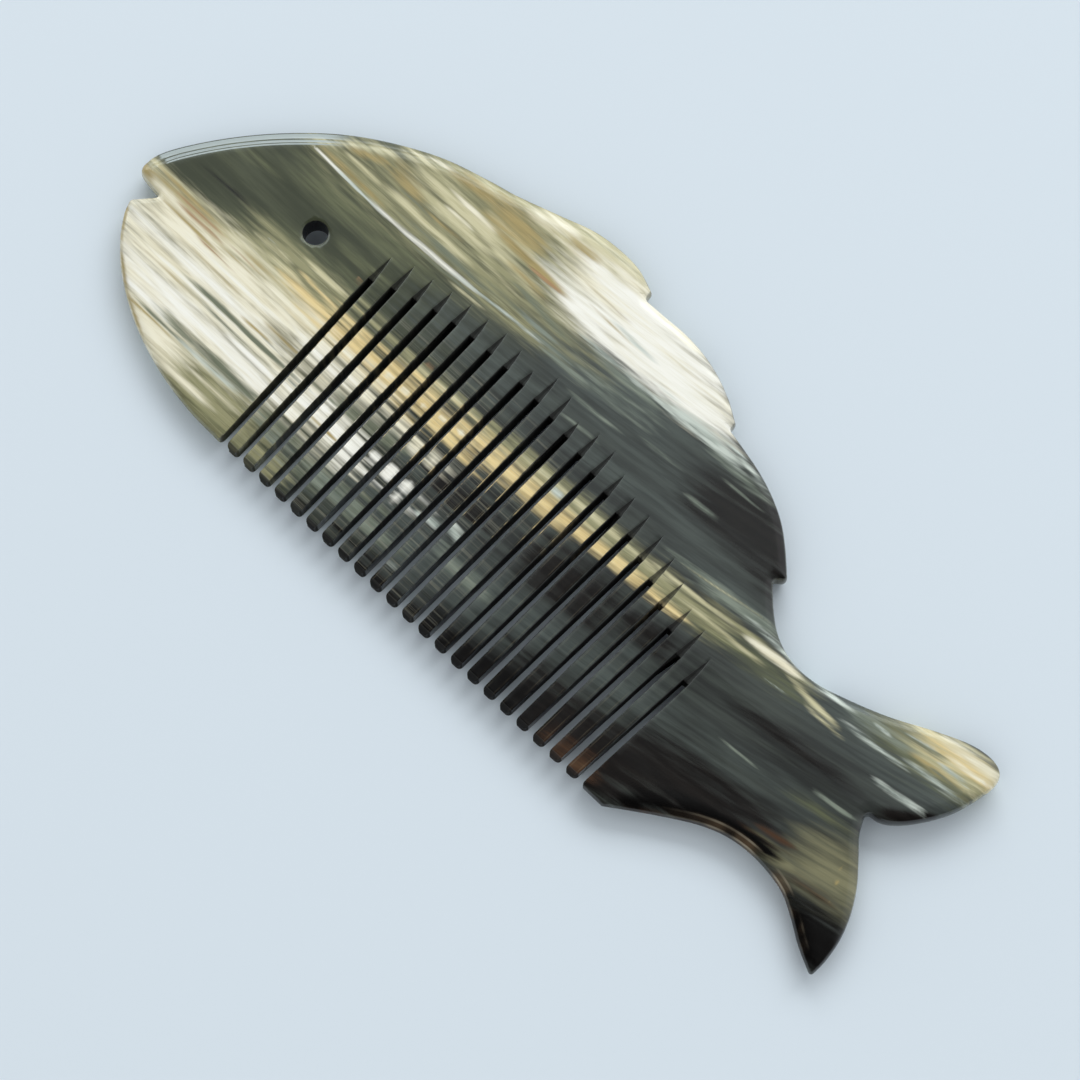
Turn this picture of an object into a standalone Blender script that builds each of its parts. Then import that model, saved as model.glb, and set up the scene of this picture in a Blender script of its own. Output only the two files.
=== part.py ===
"""A fish-shaped hair comb, cut and ground in one piece from a flat plate of horn.

The comb lies flat: +X runs from the mouth to the tail, +Y from the tooth tips to the back,
and +Z is its thickness. The drawing is in millimetres, and the model is in metres.
The teeth, the two guards beside them and the plate are the same piece of horn, as on the real comb.
"""

import math
from typing import NamedTuple

import bmesh
import bpy
import numpy as np
from mathutils import Matrix, Vector
from mathutils.geometry import interpolate_bezier

MM = 0.001

# The plate
BACK_THICKNESS = 4.2
TIP_THICKNESS = 2.6
THINNING_STARTS_Y = -6.0

# The teeth, cut as slots with a saw from the tooth line into the plate. The first and last slot's
# places at their roots and mouths: the slots spread a little like a fan.
SLOT_COUNT = 23
TOOTH_LINE_Y = -31.1
ROOT_X = (-39.4, 36.2)
MOUTH_X = (-37.3, 34.9)
SLOT_WIDTH_AT_ROOT = 1.0
SLOT_WIDTH_AT_MOUTH = 1.35
TOOTH_TIP_RADIUS = 0.8
TOOTH_TIP_ANGLES = (0.0, 26.0, 52.0, 78.0)
SLOT_OVERRUN = 2.0

# The slots end on a compound arc, tighter towards the head
ROOT_CROWN = (-19.2, 6.1)
ROOT_RADIUS_HEAD = 52.0
ROOT_RADIUS_TAIL = 103.0

# The grinding wheel breaks both edges of each tooth, and lifts off past the slot's end in a point.
# It is lifted by hand, so the run-outs differ: their lengths, from the head to the tail.
BEVEL_WIDTH = 0.18
BEVEL_DEPTH = 0.18
RUN_OUT_LENGTHS = (
    4.7, 4.8, 4.2, 3.9, 4.0, 3.7, 3.9, 3.5, 2.6, 4.7, 4.6, 2.8,
    4.3, 4.8, 4.0, 3.6, 4.2, 4.7, 4.9, 4.9, 4.5, 5.4, 4.9,
)
WHEEL_CLEARANCE = 0.3

# The eye, drilled through and countersunk on both faces
EYE_CENTRE = (-50.7, 1.5)
EYE_DIAMETER = 3.9
EYE_COUNTERSINK = 0.25
EYE_FACETS = 40

# Resolution of the curves and of the rounded edge
OUTLINE_STEP = 1.15
CORNER_STEP = 0.45
LEAST_SPACING = 0.35
EDGE_RINGS = 3
MERGE_DISTANCE = 0.0001

# A fillet's handles reach this share of the way to the corner, which makes a near circle
FILLET_PULL = 0.56
# One run's edge width fades into the next over this length
EDGE_BLEND = 5.0
# Where the plate is narrow, its two rounded edges stop at this share of the way to its ridge
RIDGE_SHARE = 0.9
# Edges that turn by more degrees than this are shaded sharp
SHARP_ANGLE = 35.0

HORN_COLOUR = (0.135, 0.13, 0.1, 1.0)
HORN_ROUGHNESS = 0.22


class Run(NamedTuple):
    """A smooth stretch of the outline, which ends at its last point in a corner."""

    points: tuple
    corner_radius: float
    edge_width: float


# The outline, clockwise from the guard corner below the head. The edge width is how far in from
# the outline the hand-rounded edge reaches.
OUTLINE = (
    # under the head and up the jaw to the lower lip
    Run(((-45.2, -30.8), (-53.1, -29.4), (-60.6, -26.8), (-67.4, -23.0), (-71.6, -19.3),
         (-74.0, -16.2), (-75.0, -13.9)), 0.9, 1.7),
    # the mouth, a saw cut
    Run(((-72.0, -10.6),), 0.35, 1.2),
    Run(((-77.6, -9.8),), 1.5, 1.4),
    # forehead and back, with a slight hollow behind the head, to the first fin notch
    Run(((-77.4, -6.0), (-75.2, -1.5), (-70.6, 5.0), (-65.2, 11.0), (-59.2, 16.3), (-52.5, 20.6),
         (-45.3, 24.0), (-37.6, 26.2), (-33.7, 27.1), (-26.1, 29.5), (-21.0, 31.1), (-16.4, 31.6),
         (-12.0, 31.3), (-8.1, 29.9)), 0.35, 2.4),
    Run(((-7.9, 28.4),), 0.5, 1.6),
    # second fin lobe
    Run(((-3.9, 28.5), (0.1, 28.6), (4.0, 28.2), (7.8, 27.2), (11.5, 25.6), (14.9, 23.5)), 0.35, 2.4),
    Run(((15.1, 22.2),), 0.4, 1.6),
    # third fin lobe
    Run(((18.8, 21.4), (22.7, 20.4), (26.4, 19.0), (29.9, 17.1), (33.0, 14.6), (36.6, 11.1)), 0.7, 2.4),
    Run(((34.9, 9.8),), 0.5, 1.4),
    # the waist, the upper tail fin and its underside, to the fork
    Run(((38.4, 6.3), (41.5, 4.1), (45.2, 2.9), (48.9, 2.9), (52.4, 3.7), (59.9, 6.4), (67.1, 9.9),
         (71.5, 11.7), (74.9, 12.2), (77.1, 11.5), (77.9, 9.8), (77.4, 6.6), (76.0, 2.2), (73.7, -1.6),
         (71.4, -4.3), (69.3, -5.6), (67.2, -5.7)), 0.8, 1.9),
    # lower tail fin
    Run(((68.7, -8.8), (70.9, -11.4), (73.4, -14.5), (75.4, -18.0), (76.7, -21.7), (77.2, -25.4),
         (77.1, -28.3)), 0.5, 1.8),
    # the belly curve, back to the tail guard
    Run(((73.0, -26.3), (69.7, -24.2), (66.3, -22.4), (62.5, -21.6), (58.5, -21.5), (54.7, -22.2),
         (51.3, -23.6), (47.9, -25.6), (44.5, -27.8), (39.7, TOOTH_LINE_Y)), 0.5, 2.8),
    # the tooth line, under the tail guard, the teeth and the head guard
    Run(((35.4, TOOTH_LINE_Y),), 0.0, 0.9),
    Run(((-38.3, TOOTH_LINE_Y),), 0.5, 1.2),
)


def clear_scene():
    """Remove whatever the scene holds."""
    for obj in list(bpy.data.objects):
        bpy.data.objects.remove(obj, do_unlink=True)


def new_collection(name):
    """A collection linked to the scene."""
    collection = bpy.data.collections.new(name)
    bpy.context.scene.collection.children.link(collection)
    return collection


def new_object(name, bm, collection):
    """An object that holds the bmesh, scaled from drawing millimetres to metres."""
    bmesh.ops.scale(bm, vec=(MM, MM, MM), verts=bm.verts)
    bmesh.ops.recalc_face_normals(bm, faces=bm.faces)
    mesh = bpy.data.meshes.new(name)
    bm.to_mesh(mesh)
    bm.free()
    obj = bpy.data.objects.new(name, mesh)
    collection.objects.link(obj)
    return obj


def horn_material():
    """Polished horn, as one plain colour."""
    material = bpy.data.materials.new("polished_horn")
    material.use_nodes = True
    shader = material.node_tree.nodes["Principled BSDF"]
    shader.inputs["Base Color"].default_value = HORN_COLOUR
    shader.inputs["Roughness"].default_value = HORN_ROUGHNESS
    shader.inputs["Metallic"].default_value = 0.0
    return material


def smooth_run(start, points):
    """Points about OUTLINE_STEP apart on a smooth curve from start through the given points."""
    knots = [Vector(start)] + [Vector(p) for p in points]
    tangents = [(b - a).normalized() for a, b in zip(knots, knots[1:])]
    tangents = (
        tangents[:1]
        + [(c - a).normalized() for a, c in zip(knots, knots[2:])]
        + tangents[-1:]
    )
    curve = []
    for i, (a, b) in enumerate(zip(knots, knots[1:])):
        pull = (b - a).length / 3
        count = max(2, round((b - a).length / OUTLINE_STEP) + 1)
        curve += interpolate_bezier(a, a + tangents[i] * pull, b - tangents[i + 1] * pull, b, count)[:-1]
    return curve + [knots[-1]]


def shortened(run, start_cut, end_cut):
    """The run without the given lengths at its two ends."""
    lengths = [0.0]
    for a, b in zip(run, run[1:]):
        lengths.append(lengths[-1] + (b - a).length)
    total = lengths[-1]

    def at(distance):
        i = max(j for j, length in enumerate(lengths[:-1]) if length <= distance)
        share = (distance - lengths[i]) / (lengths[i + 1] - lengths[i])
        return run[i].lerp(run[i + 1], share)

    first = start_cut + LEAST_SPACING
    last = total - end_cut - LEAST_SPACING
    inner = [p for p, length in zip(run, lengths) if first < length < last]
    return [at(start_cut)] + inner + [at(total - end_cut)]


def corner_cut(before, corner, after, radius):
    """How far from the corner a fillet of this radius starts."""
    turn = (corner - before).angle(after - corner)
    return radius * math.tan(turn / 2)


def outline_points():
    """The closed outline, clockwise, and each point's edge width."""
    corners = [Vector(run.points[-1]) for run in OUTLINE]
    runs = [smooth_run(corners[i - 1], run.points) for i, run in enumerate(OUTLINE)]
    cuts = [
        corner_cut(run[-2], corners[i], runs[(i + 1) % len(runs)][1], OUTLINE[i].corner_radius)
        for i, run in enumerate(runs)
    ]
    points, widths = [], []
    for i, run in enumerate(runs):
        straight = len(OUTLINE[i].points) == 1
        trimmed = shortened(run, cuts[i - 1], cuts[i])
        if straight:
            trimmed = [trimmed[0], trimmed[-1]]
        following = shortened(runs[(i + 1) % len(runs)], cuts[i], 0.0)
        points += trimmed[:-1]
        widths += [OUTLINE[i].edge_width] * (len(trimmed) - 1)
        if OUTLINE[i].corner_radius == 0.0:
            fillet = []
        else:
            count = max(3, round(2 * cuts[i] / CORNER_STEP) + 2)
            fillet = interpolate_bezier(
                trimmed[-1],
                trimmed[-1].lerp(corners[i], FILLET_PULL),
                following[0].lerp(corners[i], FILLET_PULL),
                following[0],
                count,
            )[:-1]
        points += fillet
        widths += [OUTLINE[i].edge_width] * len(fillet)
    return np.array([(p.x, p.y) for p in points]), np.array(widths)


def inward_normals(points):
    """The unit normal of the clockwise outline at each point, pointing into the plate."""
    ahead = np.roll(points, -1, axis=0) - points
    ahead /= np.linalg.norm(ahead, axis=1)[:, None]
    along = ahead + np.roll(ahead, 1, axis=0)
    along /= np.linalg.norm(along, axis=1)[:, None]
    return np.stack([along[:, 1], -along[:, 0]], axis=1)


def blended(widths, points):
    """The widths averaged along the outline over EDGE_BLEND, so that one run's edge fades into the next."""
    step = np.linalg.norm(np.roll(points, -1, axis=0) - points, axis=1)
    place = np.concatenate([[0.0], np.cumsum(step)])
    total = place[-1]
    apart = np.abs(place[:-1, None] - place[None, :-1])
    apart = np.minimum(apart, total - apart)
    weight = np.exp(-((apart / EDGE_BLEND) ** 2)) * step[None, :]
    return (weight * widths[None, :]).sum(axis=1) / weight.sum(axis=1)


def edge_reach(points, normals, widths):
    """How far in the rounded edge goes at each point: its width, or less at a corner or in a fin.

    The circle that touches the outline at one point and passes through another bounds the room
    between them. The smallest of these circles is centred on the plate's ridge there.
    """
    apart = points[None, :, :] - points[:, None, :]
    towards = np.einsum("ijk,ik->ij", apart, normals)
    with np.errstate(divide="ignore", invalid="ignore"):
        radius = np.where(towards > 1e-6, (apart**2).sum(axis=2) / (2 * towards), np.inf)
    room = np.nan_to_num(radius, nan=np.inf).min(axis=1)
    room = np.minimum(room, np.minimum(np.roll(room, 1), np.roll(room, -1)))
    return np.minimum(widths, RIDGE_SHARE * room)


def half_thickness(y):
    """Half the plate's thickness at this height: full over the back, thinner towards the tooth tips."""
    share = (THINNING_STARTS_Y - y) / (THINNING_STARTS_Y - TOOTH_LINE_Y)
    share = min(max(share, 0.0), 1.0)
    return 0.5 * (BACK_THICKNESS + (TIP_THICKNESS - BACK_THICKNESS) * share)


def plate_mesh():
    """The plate with its rounded edge and no slots: rings of points from its rim up to the flat face."""
    points, widths = outline_points()
    normals = inward_normals(points)
    reach = edge_reach(points, normals, blended(widths, points))
    bm = bmesh.new()
    station = bm.verts.layers.int.new("station")
    height = bm.verts.layers.float.new("height")
    rim = []
    for i, (x, y) in enumerate(points):
        vert = bm.verts.new((x, y, 0.0))
        vert[station] = i
        rim.append(vert)
    edges = [bm.edges.new((a, b)) for a, b in zip(rim, rim[1:] + rim[:1])]
    for ring in range(1, EDGE_RINGS + 1):
        angle = 0.5 * math.pi * ring / EDGE_RINGS
        made = bmesh.ops.extrude_edge_only(bm, edges=edges)["geom"]
        for vert in (g for g in made if isinstance(g, bmesh.types.BMVert)):
            i = vert[station]
            inward = reach[i] * (1 - math.cos(angle))
            vert.co.x, vert.co.y = points[i] + normals[i] * inward
            vert[height] = math.sin(angle)
        edges = [g for g in made if isinstance(g, bmesh.types.BMEdge)]
    bmesh.ops.contextual_create(bm, geom=edges)
    # A cut where the thinning starts, so that both parts of the face stay flat
    bmesh.ops.bisect_plane(
        bm,
        geom=bm.verts[:] + bm.edges[:] + bm.faces[:],
        dist=MERGE_DISTANCE,
        plane_co=(0, THINNING_STARTS_Y, 0),
        plane_no=(0, 1, 0),
    )
    bmesh.ops.triangulate(bm, faces=[f for f in bm.faces if len(f.verts) > 4], ngon_method="BEAUTY")
    for vert in bm.verts:
        vert.co.z = vert[height] * half_thickness(vert.co.y)
    geometry = bm.verts[:] + bm.edges[:] + bm.faces[:]
    bmesh.ops.mirror(bm, geom=geometry, axis="Z", merge_dist=MERGE_DISTANCE)
    return bm


def slot_places():
    """Each slot's end point and lean: even steps at the roots and mouths, the ends on a compound arc."""
    places = []
    for root_x, mouth_x in zip(np.linspace(*ROOT_X, SLOT_COUNT), np.linspace(*MOUTH_X, SLOT_COUNT)):
        across = root_x - ROOT_CROWN[0]
        radius = ROOT_RADIUS_TAIL if across > 0 else ROOT_RADIUS_HEAD
        root_y = ROOT_CROWN[1] - (radius - math.sqrt(radius**2 - across**2))
        lean = math.atan2(mouth_x - root_x, root_y - TOOTH_LINE_Y)
        places.append((Vector((root_x, root_y, 0.0)), lean))
    return places


def slot_length(end, lean):
    """From the slot's end to the tooth line, along the slot."""
    return (end.y - TOOTH_LINE_Y) / math.cos(lean)


def add_slot_cutter(bm, end, lean):
    """One slot: square at its end, a little wider at its mouth, where it rounds the tooth tips."""
    length = slot_length(end, lean)
    root = 0.5 * SLOT_WIDTH_AT_ROOT
    mouth = 0.5 * SLOT_WIDTH_AT_MOUTH
    side = [Vector((root, 0.0))]
    for angle in np.radians(TOOTH_TIP_ANGLES):
        x = mouth + TOOTH_TIP_RADIUS * (1 - math.cos(angle))
        y = -length + TOOTH_TIP_RADIUS * (1 - math.sin(angle))
        side.append(Vector((x, y)))
    side.append(Vector((mouth + TOOTH_TIP_RADIUS, -length - SLOT_OVERRUN)))
    plan = side + [Vector((-p.x, p.y)) for p in reversed(side)]
    face = bm.faces.new([bm.verts.new((p.x, p.y, -BACK_THICKNESS)) for p in plan])
    made = bmesh.ops.extrude_face_region(bm, geom=[face])["geom"]
    raised = [g for g in made if isinstance(g, bmesh.types.BMVert)]
    bmesh.ops.translate(bm, vec=(0, 0, 2 * BACK_THICKNESS), verts=raised)
    place(bm, list(face.verts) + raised, end, lean)


def place(bm, verts, end, lean):
    """Turn the cutter by its lean and set it at the slot's end."""
    matrix = Matrix.Translation(end) @ Matrix.Rotation(lean, 4, "Z")
    bmesh.ops.transform(bm, matrix=matrix, verts=verts)


def add_groove_cutter(bm, end, lean, run_out, face_sign):
    """One V-groove in one face: along the slot, over both tooth edges, and out past the slot's end."""
    length = slot_length(end, lean)
    slope = BEVEL_DEPTH / BEVEL_WIDTH
    crease = (end.y - THINNING_STARTS_Y) / math.cos(lean)
    # The groove bends with the face where the thinning starts, unless the slot ends before it
    stations = [length, crease, 0.0] if crease > LEAST_SPACING else [length, 0.0]
    rings = []
    for below in stations:
        widening = (SLOT_WIDTH_AT_MOUTH - SLOT_WIDTH_AT_ROOT) * below / length
        half_width = 0.5 * (SLOT_WIDTH_AT_ROOT + widening) + BEVEL_WIDTH
        surface = half_thickness(end.y - below * math.cos(lean))
        outer = half_width + WHEEL_CLEARANCE / slope
        rings.append([
            bm.verts.new((-outer, -below, face_sign * (surface + WHEEL_CLEARANCE))),
            bm.verts.new((outer, -below, face_sign * (surface + WHEEL_CLEARANCE))),
            bm.verts.new((0.0, -below, face_sign * (surface - half_width * slope))),
        ])
    # The first ring moves out past the tooth tips
    for vert in rings[0]:
        vert.co.y -= SLOT_OVERRUN
    depth = half_width * slope
    lift_off = run_out * (1 + WHEEL_CLEARANCE / depth)
    apex = bm.verts.new((0.0, lift_off, face_sign * (half_thickness(end.y) + WHEEL_CLEARANCE)))
    bm.faces.new(rings[0])
    for lower, upper in zip(rings, rings[1:]):
        for i in range(3):
            j = (i + 1) % 3
            bm.faces.new((lower[i], lower[j], upper[j], upper[i]))
    for i in range(3):
        bm.faces.new((rings[-1][i], rings[-1][(i + 1) % 3], apex))
    place(bm, [v for ring in rings for v in ring] + [apex], end, lean)


def eye_cutter(collection):
    """A drill with a countersink for each face, turned about its own axis."""
    radius = 0.5 * EYE_DIAMETER
    half = 0.5 * BACK_THICKNESS
    wide = radius + 2 * EYE_COUNTERSINK
    profile = [(0.0, half + EYE_COUNTERSINK), (wide, half + EYE_COUNTERSINK), (radius, half - EYE_COUNTERSINK)]
    profile += [(r, -z) for r, z in reversed(profile)]
    bm = bmesh.new()
    verts = [bm.verts.new((r, 0.0, z)) for r, z in profile]
    edges = [bm.edges.new((a, b)) for a, b in zip(verts, verts[1:])]
    bmesh.ops.spin(
        bm,
        geom=verts + edges,
        cent=(0, 0, 0),
        axis=(0, 0, 1),
        angle=2 * math.pi,
        steps=EYE_FACETS,
        use_merge=True,
    )
    bmesh.ops.remove_doubles(bm, verts=bm.verts, dist=MERGE_DISTANCE)
    bmesh.ops.translate(bm, vec=(*EYE_CENTRE, 0.0), verts=bm.verts)
    return new_object("eye_drill", bm, collection)


def slot_cutter(collection):
    """The saw cuts of all the slots."""
    bm = bmesh.new()
    for end, lean in slot_places():
        add_slot_cutter(bm, end, lean)
    return new_object("slot_saw", bm, collection)


def groove_cutter(collection):
    """The wheel's grooves in both faces."""
    bm = bmesh.new()
    for (end, lean), run_out in zip(slot_places(), RUN_OUT_LENGTHS):
        for face_sign in (1, -1):
            add_groove_cutter(bm, end, lean, run_out, face_sign)
    return new_object("bevel_wheel", bm, collection)


def cut(obj, cutter):
    """Take the cutter out of the object with an exact Boolean."""
    cutter.hide_render = True
    cutter.display_type = "WIRE"
    boolean = obj.modifiers.new(cutter.name, "BOOLEAN")
    boolean.operation = "DIFFERENCE"
    boolean.solver = "EXACT"
    boolean.object = cutter


def build():
    """The comb, resting on its flat back with its bounding box centred on the origin."""
    clear_scene()
    parts = new_collection("horn_comb_parts")
    cutters = new_collection("cutters")
    cutters.hide_render = True
    comb = new_object("horn_comb", plate_mesh(), parts)
    comb.data.materials.append(horn_material())
    comb.data.shade_smooth()
    comb.data.set_sharp_from_angle(angle=math.radians(SHARP_ANGLE))
    makers = (slot_cutter, groove_cutter, eye_cutter)
    tools = [make(cutters) for make in makers]
    for tool in tools:
        cut(comb, tool)
    points, _ = outline_points()
    middle = 0.5 * (points.min(axis=0) + points.max(axis=0))
    seat = Vector((-middle[0], -middle[1], 0.5 * BACK_THICKNESS)) * MM
    for obj in [comb] + tools:
        obj.location = seat


build()
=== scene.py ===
"""Looks for the horn comb: the plate in full detail, its streaked horn, a pale floor and a soft studio.

The comb is drawn in millimetres, with X along the tooth line from mouth to tail and Y towards the back.
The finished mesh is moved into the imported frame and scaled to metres.
"""

import logging
import math
from collections.abc import Iterable
from dataclasses import dataclass
from enum import Enum
from functools import partial, reduce

import bmesh
import bpy
import numpy as np
from bmesh.types import BMEdge, BMesh, BMFace, BMVert
from bpy.types import ID, Mesh, Node, NodeSocket, NodeTree, Object
from mathutils import Matrix, Vector
from mathutils.geometry import interpolate_bezier


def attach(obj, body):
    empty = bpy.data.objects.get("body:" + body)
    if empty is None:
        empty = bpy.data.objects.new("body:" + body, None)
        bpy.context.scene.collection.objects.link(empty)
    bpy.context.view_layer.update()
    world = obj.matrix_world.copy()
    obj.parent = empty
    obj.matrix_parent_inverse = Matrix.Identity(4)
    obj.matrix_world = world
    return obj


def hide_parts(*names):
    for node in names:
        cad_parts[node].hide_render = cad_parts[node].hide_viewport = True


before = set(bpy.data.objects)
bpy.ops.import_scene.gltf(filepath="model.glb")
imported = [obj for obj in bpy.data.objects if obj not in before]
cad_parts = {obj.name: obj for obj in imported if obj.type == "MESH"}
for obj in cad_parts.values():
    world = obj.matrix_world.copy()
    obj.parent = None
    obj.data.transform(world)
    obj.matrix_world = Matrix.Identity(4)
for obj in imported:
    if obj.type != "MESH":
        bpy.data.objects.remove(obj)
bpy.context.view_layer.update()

log = logging.getLogger("horn_comb")

Array = np.ndarray
Colour = tuple[float, float, float, float]
Point = tuple[float, float]
Size = tuple[float, float, float]
Value = NodeSocket | float | tuple

MM = 0.001
BODY = "root"
NODE = "horn_comb"
SLOT = "polished_horn"

# The drawing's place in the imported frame, in mm; the middle of the plate lies half its thickness up
DRAWING_SHIFT = (-0.1516, -0.2542, 2.1)
TOOTH_LINE_Y = -31.1
# How many points are measured against the outline at a time, which keeps the memory small
BLOCK = 1000
# A point of the outline less far in front of another than this, in mm, is beside it
AHEAD = 1e-6
OVERHEAD = Vector((0, 0, 1))


def srgb(red: int, green: int, blue: int) -> Colour:
    """A colour picker's values as a linear colour.

    Args:
        red: Red, 0 to 255.
        green: Green, 0 to 255.
        blue: Blue, 0 to 255.

    Returns:
        The linear colour, with an alpha of 1.
    """
    shares = (c / 255 for c in (red, green, blue))
    linear = [s / 12.92 if s < 0.04045 else ((s + 0.055) / 1.055) ** 2.4 for s in shares]
    return (*linear, 1.0)


def add_object(name: str, data: ID) -> Object:
    """Adds an object to the scene.

    Args:
        name: Its name.
        data: Its mesh, lamp or camera.

    Returns:
        The object.
    """
    obj = bpy.data.objects.new(name, data)
    bpy.context.scene.collection.objects.link(obj)
    return obj


def add_shape(name: str, bm: BMesh) -> Object:
    """Adds an object that is made from a bmesh, which is freed.

    Args:
        name: The object's name.
        bm: Its shape.

    Returns:
        The object.
    """
    mesh = bpy.data.meshes.new(name)
    bm.to_mesh(mesh)
    bm.free()
    return add_object(name, mesh)


def standing(axes: Iterable[Vector], place: Vector) -> Matrix:
    """The matrix of what stands at a place with its X, Y and Z along the axes."""
    return Matrix.Translation(place) @ Matrix(axes).transposed().to_4x4()


class Tone(Enum):
    """The horn's layers of colour, from the lowest to the one that lies over all others."""

    # Greenish and bluish grey: partly the horn's own streaks, partly painted sheen of the pale room on the
    # dark horn
    SHEEN = "sheen"
    DARK = "dark"
    MOSS = "moss"
    KHAKI = "khaki"
    HUSK = "husk"
    TAN = "tan"
    AMBER = "amber"
    CREAM = "cream"
    WHITE = "white"
    OCHRE = "ochre"
    RUST = "rust"
    OLIVE = "olive"
    HAZE = "haze"
    MIST = "mist"
    BROWN = "brown"
    # Black: the horn's black tips, and painted shade along the belly's bevel
    SOOT = "black_and_shade"


@dataclass(frozen=True)
class Finish:
    """How one layer of the horn looks.

    Attributes:
        colour: The layer's middle colour.
        shade: The colour that its streaks drift to.
        fibre: The colour of the finest lines in it.
        softness: How gradually it begins.
        ragged: How far the grain pulls its border in and out.
    """

    colour: Colour
    shade: Colour
    fibre: Colour
    softness: float = 0.3
    ragged: float = 1.0


FINISHES = {
    Tone.SHEEN: Finish(srgb(76, 84, 81), srgb(64, 71, 69), srgb(86, 95, 90), 0.55, 0.4),
    Tone.DARK: Finish(srgb(17, 14, 13), srgb(26, 23, 21), srgb(34, 30, 27), 0.3, 0.5),
    Tone.MOSS: Finish(srgb(98, 103, 76), srgb(84, 88, 66), srgb(116, 120, 92), 0.45, 0.55),
    Tone.KHAKI: Finish(srgb(146, 145, 110), srgb(122, 122, 92), srgb(178, 176, 140), 0.42, 0.6),
    Tone.HUSK: Finish(srgb(126, 125, 98), srgb(112, 112, 88), srgb(136, 134, 106), 0.5, 0.35),
    Tone.TAN: Finish(srgb(202, 198, 162), srgb(180, 176, 138), srgb(220, 216, 186), 0.46, 0.72),
    Tone.AMBER: Finish(srgb(228, 208, 152), srgb(212, 190, 134), srgb(238, 226, 184), 0.36, 0.8),
    Tone.CREAM: Finish(srgb(238, 235, 213), srgb(226, 221, 194), srgb(212, 204, 170), 0.46, 0.72),
    Tone.WHITE: Finish(srgb(246, 247, 239), srgb(241, 242, 232), srgb(232, 231, 216), 0.46, 0.8),
    Tone.OCHRE: Finish(srgb(168, 152, 102), srgb(148, 133, 86), srgb(196, 184, 140), 0.48, 0.75),
    Tone.RUST: Finish(srgb(164, 132, 96), srgb(140, 108, 76), srgb(190, 162, 126), 0.42, 0.9),
    Tone.OLIVE: Finish(srgb(112, 119, 100), srgb(94, 100, 84), srgb(138, 144, 122), 0.4, 1.0),
    Tone.HAZE: Finish(srgb(126, 136, 124), srgb(104, 114, 104), srgb(146, 154, 142), 0.45, 0.9),
    Tone.MIST: Finish(srgb(196, 206, 198), srgb(168, 180, 172), srgb(214, 222, 214), 0.45, 1.2),
    Tone.BROWN: Finish(srgb(74, 52, 36), srgb(56, 40, 29), srgb(96, 72, 50), 0.45, 0.7),
    Tone.SOOT: Finish(srgb(3, 2, 2), srgb(5, 4, 4), srgb(8, 7, 6), 0.3, 0.5),
}


@dataclass(frozen=True)
class Streak:
    """One streak or patch of a tone, along a line in the comb's drawing.

    Attributes:
        tone: The layer that it belongs to.
        start: Where it starts.
        end: Where it ends.
        half_width: From its middle line to its border.
        core: Its strength in the middle: 1 is full, and about 0.5 comes out as broken streaks.
    """

    tone: Tone
    start: Point
    end: Point
    half_width: float
    core: float = 1.0


def streaks(tone: Tone, *rows: tuple[float, ...]) -> tuple[Streak, ...]:
    """Streaks of one tone.

    Args:
        tone: The tone.
        rows: Each one's start, end and half width, and its core where that isn't 1.

    Returns:
        The streaks.
    """
    return tuple(Streak(tone, row[:2], row[2:4], *row[4:]) for row in rows)


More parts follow.
